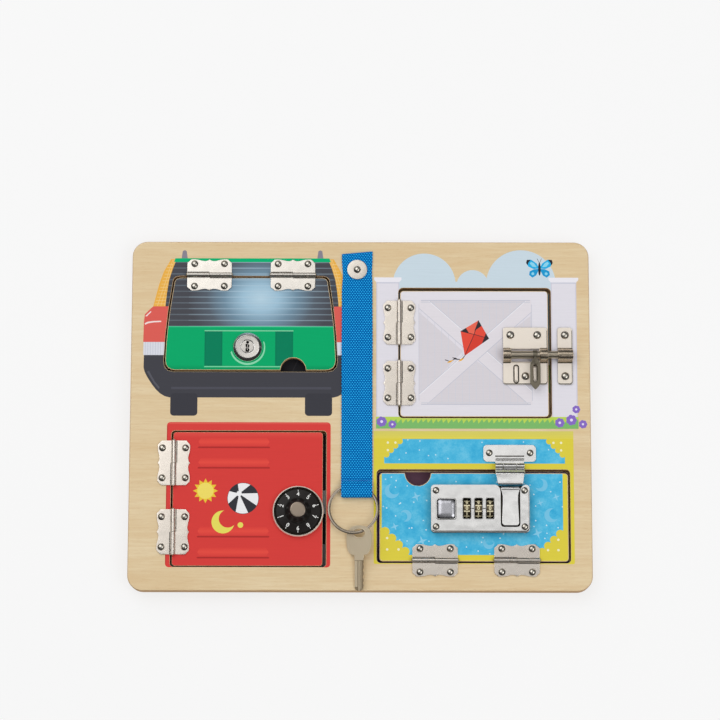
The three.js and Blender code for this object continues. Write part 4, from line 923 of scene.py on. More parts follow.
def kite(page, x, y):
    """A red kite with dark corners and a tail with bows."""
    top, right = (x + 5.0, y + 17.5), (x + 14.0, y + 1.5)
    low, left = (x - 7.0, y - 13.5), (x - 10.5, y + 8.0)
    middle = (x + 1.2, y + 5.2)
    page.area([top, right, low, left], "#E8503F")
    page.area([top, middle, left], "#EE6A55")
    page.area([right, middle, low], "#DA4436")
    for corner in (top, right, left):
        near = [tuple(Vector(corner).lerp(Vector(p), 0.3)) for p in (top, right, low, left) if p != corner]
        page.area([corner, near[0], near[1]], KITE_DARK)
    page.line([top, middle, low], 0.5, KITE_DARK)
    page.line([left, middle, right], 0.5, KITE_DARK)
    tail = [low, (x - 10.0, y - 17.0), (x - 15.0, y - 16.0), (x - 19.5, y - 18.5), (x - 24.0, y - 17.0)]
    page.line(tail, 0.7, KITE_DARK)
    for (bx, by), turn in ((tail[1], 30), (tail[2], -20), (tail[3], 25)):
        page.area(pointed(bx, by, 3.2, 0.8, 2, turn), "#F0B23A" if turn > 0 else KITE_DARK)


kite(page, 96.5, 64.5)
GATE_DOOR_PAGE = page

# The locker: a red surround, and a red door with pressed vents and stickers
LOCKER_RED = "#DA413D"
page = Print()
page.soft_box(-165.1, -25.3, -131.1, -7.0, 3.0, "#DC4440")
page.box(-163.5, -27.0, -8.6, -7.6, "#E25A52")
page.box(-165.1, -164.3, -128.0, -10.0, "#C23733")
LOCKER_PAGE = page

page = Print()
page.box(-165, -25, -135, -10, LOCKER_RED)
for y in (-28.7, -46.3, -105.2, -123.0):
    page.fade(-138.0, -77.4, y + 1.0, y + 8.6, [LOCKER_RED, "#EA4F44", "#DC423D"], 2.5)
    page.fade(-138.6, -76.8, y - 1.0, y + 1.0, [LOCKER_RED, "#A52B2B", "#D23D39"], 1.0)
page.fade(-165, -25, -20.5, -15.0, [LOCKER_RED, "#E4544C"])


def beach_ball(page, x, y, radius):
    """A pale ball with a dark outline and four dark wedges from its hub."""
    page.disc(x, y, radius, "#3A3A40", 40)
    page.disc(x, y, radius - 0.35, "#F1F1F3", 40)
    hub = (x - 0.25 * radius, y + 0.3 * radius)
    for i in range(4):
        turn = 20 + 90 * i
        rim = arc(x, y, radius - 0.35, turn, turn + 42, 8)
        page.area([hub, *rim], "#38383E")
    page.disc(hub[0], hub[1], 0.17 * radius, "#F1F1F3")


beach_ball(page, -99.6, -72.4, 13.4)
SUN, MOON_YELLOW = (-131.6, -66.0), "#E9DF62"
page.area(pointed(*SUN, 10.6, 7.2, 12), "#EEC93C")
page.disc(*SUN, 6.9, "#F4E069")
page.area(crescent(-116.4, -92.6, 9.8, 35), MOON_YELLOW)
page.disc(-101.6, -95.2, 2.4, MOON_YELLOW)
LOCKER_DOOR_PAGE = page

# The box: a yellow surround with scalloped corners, over mottled blue
YELLOW, PALE_DOT, BLUE, SKY_INK = "#E1D247", "#F3F1C9", "#4AB4E2", 2


def scallops(page, x, y, right, up, reach):
    """A yellow corner with round lobes along its slope, and pale dots."""
    page.area([(x, y), (x + right * reach, y), (x, y + up * reach)], YELLOW)
    for i in range(4):
        share = (i + 0.5) / 4
        across, along = right * reach * (1 - share) * 0.98, up * reach * share * 0.98
        page.disc(x + across, y + along, reach * 0.17, YELLOW)
    for px, py in ((0.2, 0.2), (0.62, 0.2), (0.2, 0.62)):
        page.disc(x + right * reach * px, y + up * reach * py, 1.05, PALE_DOT, 12)


page = Print()
page.soft_box(11.5, 181.8, -128.0, -14.3, 1.5, YELLOW)
page.fade(11.5, 181.8, -20.8, -14.3, ["#E3D655", "#D8D06A"])
page.box(20.4, 174.4, -42.2, -21.2, BLUE, SKY_INK)
scallops(page, 174.4, -21.2, -1, -1, 15.5)
scallops(page, 20.4, -21.2, 1, -1, 15.5)
BOX_PAGE = page

page = Print()
page.box(10, 185, -130, -45, YELLOW)
page.box(18.3, 172.2, -120.3, -45, BLUE, SKY_INK)
MOONS = (
    (27.0, -66.0, 6.2, 40), (38.5, -87.0, 5.0, 200), (154.0, -60.6, 5.4, 150), (162.4, -86.4, 6.0, 20),
    (109.0, -110.4, 4.8, 70),
)
STARS = (
    (47.6, -70.6, 4.4), (29.4, -96.2, 3.6), (52.6, -108.6, 4.6), (150.4, -101.8, 4.6), (166.6, -70.8, 3.4),
    (153.0, -76.0, 3.0),
)
SPECKS = (
    (22.5, -80.4), (34.2, -76.2), (43.8, -97.4), (30.6, -57.0), (56.0, -99.0), (149.0, -91.0),
    (158.2, -95.0), (168.0, -97.0), (100.0, -117.0), (118.6, -106.0), (170.0, -58.0), (147.6, -68.6),
    (27.0, -104.0), (163.0, -108.0),
)
for moon in MOONS:
    page.area(crescent(*moon), "#79C8E9")
for x, y, radius in STARS:
    page.area(pointed(x, y, radius, radius * 0.3, 4, 20), "#8BD0EE")
for x, y in SPECKS:
    page.disc(x, y, 0.65, "#D2EEF8", 10)
scallops(page, 18.3, -120.3, 1, 1, 23.0)
scallops(page, 172.2, -120.3, -1, 1, 21.0)
BOX_DOOR_PAGE = page

surround = Print()
for part in (CAR_PAGE, GATE_PAGE, LOCKER_PAGE, BOX_PAGE):
    surround.areas += part.areas
surround.lay("frame_print", FRAME_LOOPS, FACE, "board")
for door, page in (
    ("car_door", CAR_DOOR_PAGE),
    ("gate_door", GATE_DOOR_PAGE),
    ("locker_door", LOCKER_DOOR_PAGE),
    ("box_door", BOX_DOOR_PAGE),
):
    page.lay(door + "_print", top_loops(DOORS[door], FACE), FACE, door, PAINTS[door])


# What the doors hide: a print on the floor of each hole


def hole_near(x, y):
    """The frame's hole that holds a place, drawn in a little."""
    for loop in FRAME_LOOPS[1:]:
        xs, ys = [p[0] for p in loop], [p[1] for p in loop]
        if min(xs) < x < max(xs) and min(ys) < y < max(ys):
            return inset(loop, SOFT + 0.4)
    return None


def block(page, left, right, low, high, colour, edge, corner=1.5):
    """A rounded box with a darker lower side."""
    page.soft_box(left, right, low, high, corner, edge)
    page.area(rounded(left + 0.8, right - 0.8, low + 2.0, high - 0.6, max(0.4, corner - 0.5)), colour)


# Luggage in a dark car
page = Print()
page.fade(-175, -15, 36, 124, ["#23242A", "#3A3C44", "#565A63"])
page.box(-175, -15, 36, 50, "#2B2C32")
for i in range(12):
    page.line([(-172 + 14 * i, 36), (-166 + 14 * i, 49)], 0.7, "#3A3B42")
CAR_FLOOR, CASE_SPOT = 50, (-139, 92)
block(page, -158, -120, CAR_FLOOR, 92, "#3C78C8", "#244E8C", 5)
for x in (-148, -130):
    page.box(x - 1.8, x + 1.8, CAR_FLOOR, 92, "#2B5CA4")
page.line(arc(*CASE_SPOT, 7, 0, 180, 14), 2.2, "#1E222A")
block(page, -116, -84, CAR_FLOOR, 78, "#D9A86A", "#A87A42", 1)
page.box(-103, -97, 52, 77, "#E7CFA2")
block(page, -112, -90, 78, 96, "#E26A4A", "#A94330", 1)
page.box(-102.4, -99.6, 78, 95.6, "#F4C95D")
page.box(-112, -90, 85.6, 88.4, "#F4C95D")
block(page, -80, -34, CAR_FLOOR, 70, "#24262C", "#17181C", 6)
for i in range(6):
    page.line([(-76 + 8 * i, 51), (-76 + 8 * i, 69)], 0.6, "#3C3F48")
page.soft_box(-78, -36, 70, 82, 5.8, "#6BB36B")
page.disc(-40, 76, 5.2, "#8DD08D")
page.disc(-40, 76, 2.6, "#6BB36B")
page.area(arc(-60, 82, 13, 0, 180, 24), "#F0C94A")
page.line([(-73, 82), (-47, 82)], 1.6, "#C49A28")
page.lay("car_floor_print", [hole_near(-94, 80)], FLOOR_OF_DOORS, "board")

# A meadow behind the gate
page = Print()
page.fade(30, 170, 40, 112, ["#DDF1FA", "#9FD4F0", "#7FC4EA"])
MEADOW_SUN = (58, 92)
page.disc(*MEADOW_SUN, 10.5, "#F8DF5B", 36)
page.area(pointed(*MEADOW_SUN, 15.5, 12.0, 14), "#FBEFA6")
page.disc(*MEADOW_SUN, 10.0, "#F8DF5B", 36)
for x, y, r in ((104, 92, 7.5), (113, 95, 9), (123, 91, 7)):
    page.disc(x, y, r, "#FFFFFF")
page.area(arc(70, -46, 100, 30, 150, 40), "#7CC36A")
page.area(arc(148, -60, 106, 50, 130, 40), "#5FAF58")
page.area(arc(92, -96, 118, 40, 140, 40), "#93CE5E")
for x, y, r in ((132, 56, 12), (146, 50, 9), (46, 54, 8)):
    page.box(x - r * 0.14, x + r * 0.14, y - r * 1.9, y, "#8A5A34")
    for dx, dy, share in ((-0.5, -0.2, 0.72), (0.5, -0.2, 0.72), (0, 0.35, 0.85)):
        page.disc(x + dx * r, y + dy * r, r * share, "#3C8E46")
    page.disc(x - 0.2 * r, y + 0.4 * r, r * 0.45, "#57AA55")
page.area(arc(64, 2, 17, 0, 360, 36)[:-1], "#7CC3E6")
page.area([(x, 2 + (y - 2) * 0.5) for x, y in arc(64, 2, 13, 0, 360, 36)[:-1]], "#A5DBF2")
for i in range(22):
    x = 90 + 6.4 * (i % 11) + 2.2 * (i // 11)
    y = 4.0 + 13 * (i // 11) - (i % 3) * 1.6
    page.line([(x, y - 4.4), (x, y)], 0.6, "#3C8E46")
    daisy(page, x, y + 1.2, 2.4, 5, ("#F28AB2", "#F6E15E", "#FFFFFF")[i % 3], "#F0A63A")
page.lay("gate_floor_print", [hole_near(98, 54)], FLOOR_OF_DOORS, "board")

# Shelves in the locker
page = Print()
page.fade(-165, -25, -135, -10, ["#7F858E", "#A4AAB2", "#8C929B"])
page.box(-34.6, -25, -64, -10, "#2E3138")
page.box(-34.6, -25, -84, -64, "#D9DBDF")
page.box(-34.6, -25, -110, -84, "#26282E")
for y in (-60, -112):
    page.box(-162, -36, y - 3.2, y, "#5C626B")
    page.line([(-162, y), (-36, y)], 0.8, "#C4C9D0")
RED, GREEN, DEEP_BLUE, GOLD, WHITE = "#D6483E", "#4FA35C", "#3C78C8", "#E3B93A", "#F4F4F4"
UPPER_SHELF = -60
BOOKS = (
    (9, 34, DEEP_BLUE, WHITE),
    (7, 30, "#E2733C", "#F8E0A0"),
    (11, 37, GREEN, WHITE),
    (8, 32, "#7A55B0", "#E9DDF6"),
    (10, 35, GOLD, "#7A4A1E"),
)
for i, (wide, tall, colour, mark) in enumerate(BOOKS):
    x = -152 + 11.6 * i
    page.soft_box(x, x + wide, UPPER_SHELF, UPPER_SHELF + tall, 1.0, colour)
    page.box(x, x + wide, UPPER_SHELF + tall * 0.68, UPPER_SHELF + tall * 0.8, mark)
    page.box(x, x + wide, UPPER_SHELF + 4, UPPER_SHELF + 6, mark)
page.area(arc(-68, UPPER_SHELF, 17, 0, 180, 26), RED)
page.area([(-54, UPPER_SHELF), (-38, UPPER_SHELF), (-40, -57.4), (-53, -56)], "#B5362E")
page.disc(-68, -43.4, 1.9, WHITE)
block(page, -150, -108, -112, -72, "#3E9CC6", "#276D90", 8)
block(page, -143, -115, -110, -90, "#63B8DC", "#2F7FA6", 4)
page.line(arc(-129, -72, 7, 0, 180, 14), 2.0, "#276D90")
for i, colour in enumerate(("#F3F3F0", "#F1D98A", "#CBE3F2")):
    page.box(-96, -52, -112 + 4.4 * i, -108.4 + 4.4 * i, colour)
page.soft_box(-84, -66, -98.8, -74, 2.4, GOLD)
for i, colour in enumerate((RED, GREEN, DEEP_BLUE)):
    crayon = ((-82, -76), (-78.6, -76), (-78.6, -68), (-80.3, -64.6), (-82, -68))
    page.area([(x + 5.4 * i, y) for x, y in crayon], colour)
page.lay("locker_floor_print", [hole_near(-95, -72)], FLOOR_OF_DOORS, "board")

# Toys in the box
CORAL, SUNNY, CREAM = "#E0524A", "#F0C53E", "#F4EBDD"
page = Print()
page.fade(10, 185, -130, -45, ["#4C3A86", "#6C55AE", "#5B4698"])
for i in range(26):
    x, y = 20 + (i * 47) % 158, -54 - (i * 29) % 68
    page.area(pointed(x, y, 1.9, 0.7, 4, 15 * i), "#A796DC")
page.box(10, 185, -130, -112, "#3E2F70")
page.disc(47.4, -53, 16, "#6A4C60", 40)
page.box(32, 66, -100, -92, "#2E2440")
for x, colour, edge, y in (
    (30, CORAL, "#A83530", -112), (50, SUNNY, "#B58E20", -112), (40, "#4FA8DC", "#2B78A6", -94)
):
    block(page, x, x + 17, y, y + 17, colour, edge, 1.6)
    page.disc(x + 8.5, y + 9.4, 3.6, "#FFFFFF")
page.area([(86, -98), (112, -98), (108, -78), (90, -78)], CORAL)
page.area([(x, -78 + (y + 78) * 0.25) for x, y in disc(99, -78, 10, 30)], CREAM)
for i in range(5):
    page.line([(87 + 5 * i, -97), (90 + 5 * i, -80)], 0.7, CREAM)
page.line([(96, -72), (118, -60)], 1.6, "#E7B96A")
page.disc(118.4, -59.8, 2.6, SUNNY)
page.area([(130, -112), (132, -112), (146, -92), (142, -84), (120, -84), (116, -92)], "#45B06A")
page.box(129.6, 132.4, -84, -74, SUNNY)
page.area([(117.6, -90), (144.4, -90), (145.4, -92), (116.6, -92)], CREAM)
page.disc(160, -98, 13, "#F28A3C", 40)
page.area(arc(160, -98, 13, -25, 25, 12) + arc(160, -98, 13, 155, 205, 12), CREAM)
page.lay("box_floor_print", [hole_near(96, -88)], FLOOR_OF_DOORS, "board")


# Metal fittings, built in millimetres


FACE_MM = FACE / MM
SEAT = FACE_MM + 0.02


def joined(*works):
    """Several meshes as one."""
    whole = bmesh.new()
    for work in works:
        part = as_mesh(work, "part")
        whole.from_mesh(part)
        bpy.data.meshes.remove(part)
    return whole


def moved(work, matrix):
    bmesh.ops.transform(work, matrix=matrix, verts=work.verts)
    return work


def fitting(name, work, materials, body, replaces=(), smooth=40):
    """Scales a mesh from millimetres to metres and puts it in the scene."""
    moved(work, Matrix.Scale(MM, 4))
    return finished(name, work, materials, body, replaces, smooth)


def plate(outline, low, high, holes=(), edge=0.35, segments=3, material=0):
    """A flat piece between two heights, with softened edges where asked."""
    work = slab(bmesh.new(), outline, low, high, holes, material)
    return bevelled(work, edge, segments) if edge else work


def darken_sides(work, material, steepness=0.9):
    """Gives the steep faces of a pressed piece a dark material: painted shade along its edges."""
    work.normal_update()
    for face in work.faces:
        if face.normal.z < steepness:
            face.material_index = material


def lip_shade(left, right, low, side_top, radius, z, wide):
    """A thin dark line painted along the rolled lower and right lip of a pressed piece: painted shade."""
    near, far = radius + 0.3, radius + 0.7
    line = [(right - 0.3, side_top)]
    line += arc(right - near, low + near, radius, 0, -90, 10)
    line += arc(left + near, low + near, radius, -90, -140, 6)
    line += arc(left + near + 0.1, low + near + wide, radius, -140, -90, 6)
    line += arc(right - far, low + near + wide, radius, -90, 0, 10)
    line.append((right - 0.7, side_top))
    return plate(line[::-1], z - 0.15, z + 0.04, edge=0, material=1)


# Takes an upright shape (x, y, z) to one whose z axis runs along +X
LAY_ALONG_X = Matrix(((0, 0, 1, 0), (1, 0, 0, 0), (0, 1, 0, 0), (0, 0, 0, 1)))


def along_x(outline, start, end, holes=(), edge=0.25):
    """A bar along X whose section is an outline of (y, z) points."""
    work = plate(outline, start, end, holes, edge, 2)
    return moved(work, LAY_ALONG_X)


class NodeTree:
    """A Geometry Nodes tree with named inputs, run once on a helper object."""

    def __init__(self, name, inputs):
        self.tree = bpy.data.node_groups.new(name, "GeometryNodeTree")
        new_socket = self.tree.interface.new_socket
        self.sockets = {
            label: new_socket(label, in_out="INPUT", socket_type="NodeSocket" + kind).identifier
            for label, kind in inputs.items()
        }
        new_socket("Made", in_out="OUTPUT", socket_type="NodeSocketGeometry")
        self.start = self.tree.nodes.new("NodeGroupInput")
        self.end = self.tree.nodes.new("NodeGroupOutput")

    def given(self, label):
        return self.start.outputs[label]

    def node(self, kind, settings=None, **inputs):
        """A node with its settings and inputs: in an input's name, an underscore stands for a space."""
        made = self.tree.nodes.new("GeometryNode" + kind)
        for setting, value in (settings or {}).items():
            setattr(made, setting, value)
        for label, value in inputs.items():
            socket = made.inputs[label.replace("_", " ")]
            if isinstance(value, bpy.types.NodeSocket):
                self.tree.links.new(value, socket)
            else:
                socket.default_value = value
        return made

    def finish(self, geometry):
        """Ends the tree: instances made real, and the finish given."""
        real = self.node("RealizeInstances", Geometry=geometry)
        dressed = self.node("SetMaterial", Geometry=real.outputs["Geometry"], Material=self.given("Finish"))
        self.tree.links.new(dressed.outputs["Geometry"], self.end.inputs["Made"])

    def run(self, holder, **values):
        """Sets the inputs on a helper object and takes back its mesh."""
        modifier = holder.modifiers.new("maker", "NODES")
        modifier.node_group = self.tree
        for label, value in values.items():
            modifier[self.sockets[label]] = value
        return taken_back(holder)


def scatter(name, shape, places, material):
    """Copies of one small shape at many places, each (x, y, z, turn), through a Geometry Nodes tree."""
    tree = NodeTree(name, {"Places": "Geometry", "Shape": "Object", "Finish": "Material", "Scale": "Float"})
    points = tree.node("MeshToPoints", Mesh=tree.given("Places"))
    source = tree.node("ObjectInfo", Object=tree.given("Shape"))
    turn = tree.node("InputNamedAttribute", {"data_type": "FLOAT_VECTOR"}, Name="turn")
    copies = tree.node(
        "InstanceOnPoints",
        Points=points.outputs["Points"],
        Instance=source.outputs["Geometry"],
        Rotation=turn.outputs["Attribute"],
        Scale=tree.given("Scale"),
    )
    tree.finish(copies.outputs["Instances"])
    model = placed("template", as_mesh(shape, "template"))
    spots = bpy.data.meshes.new("spots")
    spots.from_pydata([p[:3] for p in places], [], [])
    turns = spots.attributes.new("turn", "FLOAT_VECTOR", "POINT")
    for i, place in enumerate(places):
        turns.data[i].vector = (0, 0, place[3])
    work = tree.run(placed("spots", spots), Shape=model, Finish=material, Scale=1.0)
    bpy.data.objects.remove(model)
    return work


def dome(radius, height, steps=24):
    """A rivet's head: a rim, a groove and a dome, from its seat up."""
    r, h = radius, height
    return turned(
        [
            (0, -0.2), (0.95 * r, -0.2), (r, 0.08 * h), (0.98 * r, 0.26 * h), (0.9 * r, 0.36 * h),
            (0.84 * r, 0.42 * h), (0.76 * r, 0.56 * h), (0.64 * r, 0.74 * h), (0.46 * r, 0.89 * h),
            (0.24 * r, 0.97 * h), (0, h),
        ],
        steps=steps,
    )


# Where the rivets go, by body: each place is x, y, z and a turn
RIVETS = {body: [] for body in ("board", *DOORS)}
CASE_RIVETS = {"board": [], "box_door": []}
BOLT_RIVETS = {"board": [], "gate_door": []}

# Hinges: two scalloped leaves with a rolled knuckle each, and a pin with two heads
HALF, REACH, KNUCKLE, AXIS_Z, LEAF_TOP = 19.25, 13.8, 2.0, 18.1, FACE_MM + 1.0


def leaf_outline(side):
    """A leaf with round ears and a shallow wave between them."""
    right = [(HALF, 2.1), (HALF, REACH - 3.4), (HALF - 0.7, REACH - 2.5), (HALF - 2.2, REACH - 1.4)]
    right += [(HALF - 3.1, REACH - 0.3), (HALF - 4.3, REACH), (HALF - 6.0, REACH)]
    lobe_end = HALF - 7.4
    for i in range(1, 11):
        share = 1 - i / 10
        right.append((lobe_end * share, REACH - 0.1 - 1.5 * 6.75 * share * (1 - share) ** 2 * 0.95))
    points = right + [(-x, y) for x, y in right[:-1][::-1]]
    return [(side * x, side * y) for x, y in points]


def hinge(name, x, y, turn, door):
    """Two leaves that share a pin: before the turn the board's leaf is above it and the door's below."""
    place = shift(x, y, 0) @ turning(turn, "Z")
    # The car door's hinges get the darker copy of the nickel as painted shade
    finish = CAR_HINGE_SHADED_METAL if door == "car_door" else HINGE_METAL
    for side, leaf, body in ((1, name + "_frame_leaf", "board"), (-1, name + "_door_leaf", door)):
        flat = plate(leaf_outline(side), SEAT, LEAF_TOP, edge=0.22, segments=2)
        start, end = (-HALF, -0.15) if side > 0 else (0.15, HALF)
        web = plate(box_outline(start, end, *sorted((side * 1.2, side * 2.9))), SEAT, LEAF_TOP, edge=0)
        roll = along_x(disc(0, AXIS_Z, KNUCKLE, 28), start, end, edge=0.3)
        foot, top = FACE_MM + 0.05, FACE_MM + 1.9
        tuck = [(0, foot), (side * 1.9, foot), (side * 1.9, top), (0, top)]
        tuck = along_x(tuck, start + 0.2, end - 0.2, edge=0)
        fitting(leaf + "_metal", moved(joined(flat, web, roll, tuck), place), finish, body, [leaf])
        for end in (-1, 1):
            RIVETS[body].append((*(place @ Vector((end * 12.85, side * 9.85, LEAF_TOP))), 0.0))
    cap = [(0, -0.5), (1.5, -0.5), (1.6, -0.3), (1.6, 0.35), (1.2, 0.72), (0.6, 0.8), (0, 0.8)]
    pin = []
    for end in (-1, 1):
        at = shift(end * (HALF + 0.15), 0, AXIS_Z) @ turning(end * 90, "Y")
        pin.append(moved(turned(cap, steps=20), at))
    pin.append(along_x(disc(0, AXIS_Z, 0.92, 14), -HALF - 0.2, HALF + 0.2, edge=0))
    fitting(name + "_pin_metal", moved(joined(*pin), place), ROD_METAL, "board", [name + "_pin"])


def middle_of(node):
    """The middle of a CAD piece in millimetres."""
    low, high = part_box(node)
    return (low + high) / 2 / MM


for door, turn, ends in (
    ("car", 0, ("left", "right")),
    ("gate", 90, ("upper", "lower")),
    ("locker", 90, ("upper", "lower")),
    ("box", 180, ("left", "right")),
):
    for end in ends:
        name = door + "_hinge_" + end
        at = middle_of(name + "_pin")
        hinge(name, at.x, at.y, turn, door + "_door")

# The key lock of the car door: a bevelled ring with a flat, and a plug with a keyhole
LOCK_X, LOCK_Y = (round(v, 3) for v in middle_of("car_lock_plug").xy)
ring = turned(
    [
        (5.75, 15.5), (12.7, 15.5), (12.88, 16.1), (12.75, 16.8), (12.3, 17.4), (10.7, 18.75),
        (10.3, 19.1), (10.0, 19.25), (9.7, 19.25), (9.5, 19.18), (9.3, 19.12), (6.2, 19.1), (5.9, 19.0),
        (5.75, 18.8), (5.75, 15.5),
    ],
    LOCK_X,
    LOCK_Y,
    64,
)
merged(ring, 1e-4)
FLAT_METAL = turned_metal("turned_chrome", "#D6D2CC", 0.24, (LOCK_X, LOCK_Y))
for face in ring.faces:
    middle = face.calc_center_median()
    face.material_index = 1 if middle.z > 19.05 and face.normal.z > 0.9 else 0
barrel = turned([(0, 6.2), (5.8, 6.2), (6.0, 6.5), (6.0, 15.6), (0, 15.6)], LOCK_X, LOCK_Y, 40)
fitting("car_lock_ring", joined(ring, barrel), [CASE_METAL, FLAT_METAL], "car_door", ["car_lock_body"])
KEYHOLE = [
    (-0.9, -3.5), (0.5, -3.7), (0.9, -2.9), (0.9, -1.6), (0.35, -1.0), (0.9, -0.4), (0.95, 1.0),
    (0.35, 1.6), (0.7, 2.4), (0.9, 3.4), (-0.3, 3.7), (-0.7, 2.9), (-0.25, 2.1), (-0.9, 1.4), (-0.9, 0.1),
    (-0.4, -0.7), (-0.9, -1.5),
]
hole = [(LOCK_X + 1.7 * x, LOCK_Y + 1.3 * y) for x, y in KEYHOLE]
plug = plate(disc(LOCK_X, LOCK_Y, 5.45, 48), 16.0, 18.85, [hole], 0.16, 2)
# The core behind the keyhole is near-black: painted shade
core = plate(disc(LOCK_X, LOCK_Y, 4.6, 24), 6.0, 16.6, edge=0, material=1)
ward = plate(band([(LOCK_X - 0.15, LOCK_Y - 3.0), (LOCK_X + 0.25, LOCK_Y + 2.9)], 0.4), 16.5, 18.0, edge=0)
keyway = joined(plug, core, ward)
fitting("car_lock_keyway", keyway, [FLAT_METAL, HOLLOW_PAINTED_SHADE], "car_lock", ["car_lock_plug"])

# The slide bolt: a plate with two saddles, a keeper, a round rod and a slotted tab
ROD_Y, ROD_Z, PLATE_LOW, PLATE_HIGH, PLATE_TOP = 51.103, 21.1, 26.0, 75.6, 17.2
SADDLE_WIDE, TAB_X = 6.6, 149.5


def saddle(start, end):
    """A strap pressed up over the rod, with feet that run into the plate."""
    outer = [(-8.0, 17.0), (-6.9, 17.1), (-5.9, 17.6), (-5.3, 18.6), (-5.1, 19.8)]
    outer += arc(0, ROD_Z, 5.1, 180, 0, 20)
    outer += [(5.1, 19.8), (5.3, 18.6), (5.9, 17.6), (6.9, 17.1), (8.0, 17.0)]
    inner = [(8.0, 16.1), (3.75, 16.1)] + arc(0, ROD_Z, 3.75, 0, 180, 16) + [(-3.75, 16.1), (-8.0, 16.1)]
    return coated(along_x([(ROD_Y + y, z) for y, z in outer + inner], start, end, edge=0.3), 2)


def staple(x):
    """A narrow loop stamped up from the plate, which fills the tab's slot."""
    outer = [
        (28.0, 16.2), (28.0, 17.6), (28.5, 18.7), (29.6, 19.1), (40.4, 19.1), (41.5, 18.7), (42.0, 17.6),
        (42.0, 16.2),
    ]
    inner = [(40.7, 16.2), (40.6, 17.5), (40.0, 18.0), (30.0, 18.0), (29.4, 17.5), (29.3, 16.2)]
    return along_x(outer + inner, x - 1.3, x + 1.3, edge=0.35)


def pressed_plate(left, right, holes=()):
    """A plate with rolled lips, its steep sides in dark metal and a dark line along its lower and right
    lip, both painted shade.
    """
    work = plate(rounded(left, right, PLATE_LOW, PLATE_HIGH, 2.4), SEAT, PLATE_TOP, holes, 0.8, 4)
    darken_sides(work, 1)
    return joined(work, lip_shade(left, right, PLATE_LOW, 73.0, 2.1, PLATE_TOP, 0.6))


body_plate = pressed_plate(122.3, 160.5, [box_outline(129.6, 153.2, ROD_Y - 5.4, ROD_Y + 5.4)])
folds = []
for y in (ROD_Y - 5.9, ROD_Y + 5.9):
    ridge = [(y - 0.55, 16.3), (y + 0.55, 16.3), (y + 0.5, 17.9), (y, 18.3), (y - 0.5, 17.9)]
    folds.append(along_x(ridge, 129.2, 153.6, edge=0.2))
# The dark rims about the slots are painted shade
slots = []
for x in (133.5, TAB_X):
    rim_outer = rounded(x - 2.5, x + 2.5, 26.8, 43.2, 2.4)
    rim_inner = rounded(x - 1.5, x + 1.5, 27.75, 42.25, 1.45)
    slots.append(plate(rim_outer, 17.0, 17.4, [rim_inner], 0.12, 1, 1))
BOLT_METALS = [PLATE_METAL, DARK_MARK_AND_SHADE_METAL, SADDLE_METAL]
saddles = [saddle(122.3, 122.3 + SADDLE_WIDE), saddle(160.5 - SADDLE_WIDE, 160.5)]
bolt_plate = joined(body_plate, *saddles, staple(133.5), staple(TAB_X), *folds, *slots)
fitting("bolt_plate_metal", bolt_plate, BOLT_METALS, "gate_door", ["bolt_plate"])
keeper = joined(pressed_plate(169.1, 181.9), saddle(169.1, 181.9))
fitting("bolt_keeper_metal", keeper, BOLT_METALS, "board", ["bolt_keeper"])
for body, x, y in (
    ("gate_door", 128.7, 69.0),
    ("gate_door", 151.7, 69.0),
    ("gate_door", 141.4, 33.2),
    ("board", 175.5, 69.0),
    ("board", 175.5, 33.2),
):
    BOLT_RIVETS[body].append((x, y, PLATE_TOP, 0.0))
rod = turned(
    [(0, 0), (2.9, 0), (3.4, 0.5), (3.4, 55.6), (3.25, 56.6), (2.8, 57.5), (2.0, 58.1), (0, 58.2)], steps=36
)
moved(rod, shift(124.2, ROD_Y, ROD_Z) @ LAY_ALONG_X)
fitting("bolt_rod_metal", rod, ROD_METAL, "bolt_rod", ["bolt_rod"])
TAB = [
    (0, 20.6), (1.1, 21.6), (2.5, 23.1), (3.7, 24.7), (4.4, 26.6), (4.4, 42.4), (3.9, 44.0), (2.9, 45.8),
    (1.6, 47.4), (0.6, 48.6), (0, 49.0),
]
tab_outline = [(TAB_X + x, y) for x, y in TAB] + [(TAB_X - x, y) for x, y in TAB[1:-1][::-1]]
tab = plate(tab_outline, 21.9, 23.7, [rounded(147.55, 151.45, 27.4, 42.6, 1.9)], 0.5)
tab_rim = plate(
    rounded(147.0, 152.0, 26.8, 43.2, 2.4), 23.4, 23.95, [rounded(147.7, 151.3, 27.5, 42.5, 1.75)], 0.2
)
for v in tab.verts:
    v.co.z += max(0.0, v.co.y - 43.5) * 0.3
collar = along_x(disc(ROD_Y, ROD_Z, 4.0, 32), 147.6, 151.4, [disc(ROD_Y, ROD_Z, 3.55, 28)], 0.18)
neck = [(44.0, 21.6), (47.3, 21.4), (49.0, 24.2), (48.0, 24.4), (46.6, 23.6), (44.0, 23.3)]
neck = along_x(neck, 148.2, 150.8, edge=0.2)
fitting("bolt_tab_metal", joined(tab, collar, neck, tab_rim), TAB_METAL, "bolt_tab", ["bolt_tab"])

# The locker's dial: a plated rim whose inner side and groove are dark metal as painted shade, a black cone
# with figures, and a black knob with a turned top
DIAL_X, DIAL_Y = (round(v, 3) for v in middle_of("dial_face").xy)
STEP = 36
rim = turned(
    [
        (0, 16.05), (21.4, 16.05), (21.7, 16.6), (21.7, 18.6), (21.55, 19.4), (21.1, 19.95), (20.6, 20.15),
        (20.1, 19.95), (19.85, 19.5), (19.7, 18.9), (19.55, 18.9), (19.45, 19.6), (19.3, 19.6),
        (19.1, 19.2), (19.1, 17.2), (0, 17.2),
    ],
    DIAL_X,
    DIAL_Y,
    96,
    materials=[0] * 6 + [1] * 9,
)
fitting("dial_rim", rim, [PLATE_METAL, DARK_MARK_AND_SHADE_METAL], "locker_door", ["dial_housing"])
SLOPE_INNER, SLOPE_OUTER, SLOPE_TOP, SLOPE_FALL = 12.6, 18.5, 20.2, 0.85
cone = turned(
    [
        (0, 17.6), (SLOPE_OUTER, 17.6), (18.75, 17.9), (18.75, 19.1), (SLOPE_OUTER, SLOPE_TOP - SLOPE_FALL),
        (SLOPE_INNER, SLOPE_TOP), (12.3, 20.38), (11.6, 20.4), (0, 20.4),
    ],
    DIAL_X,
    DIAL_Y,
    96,
)


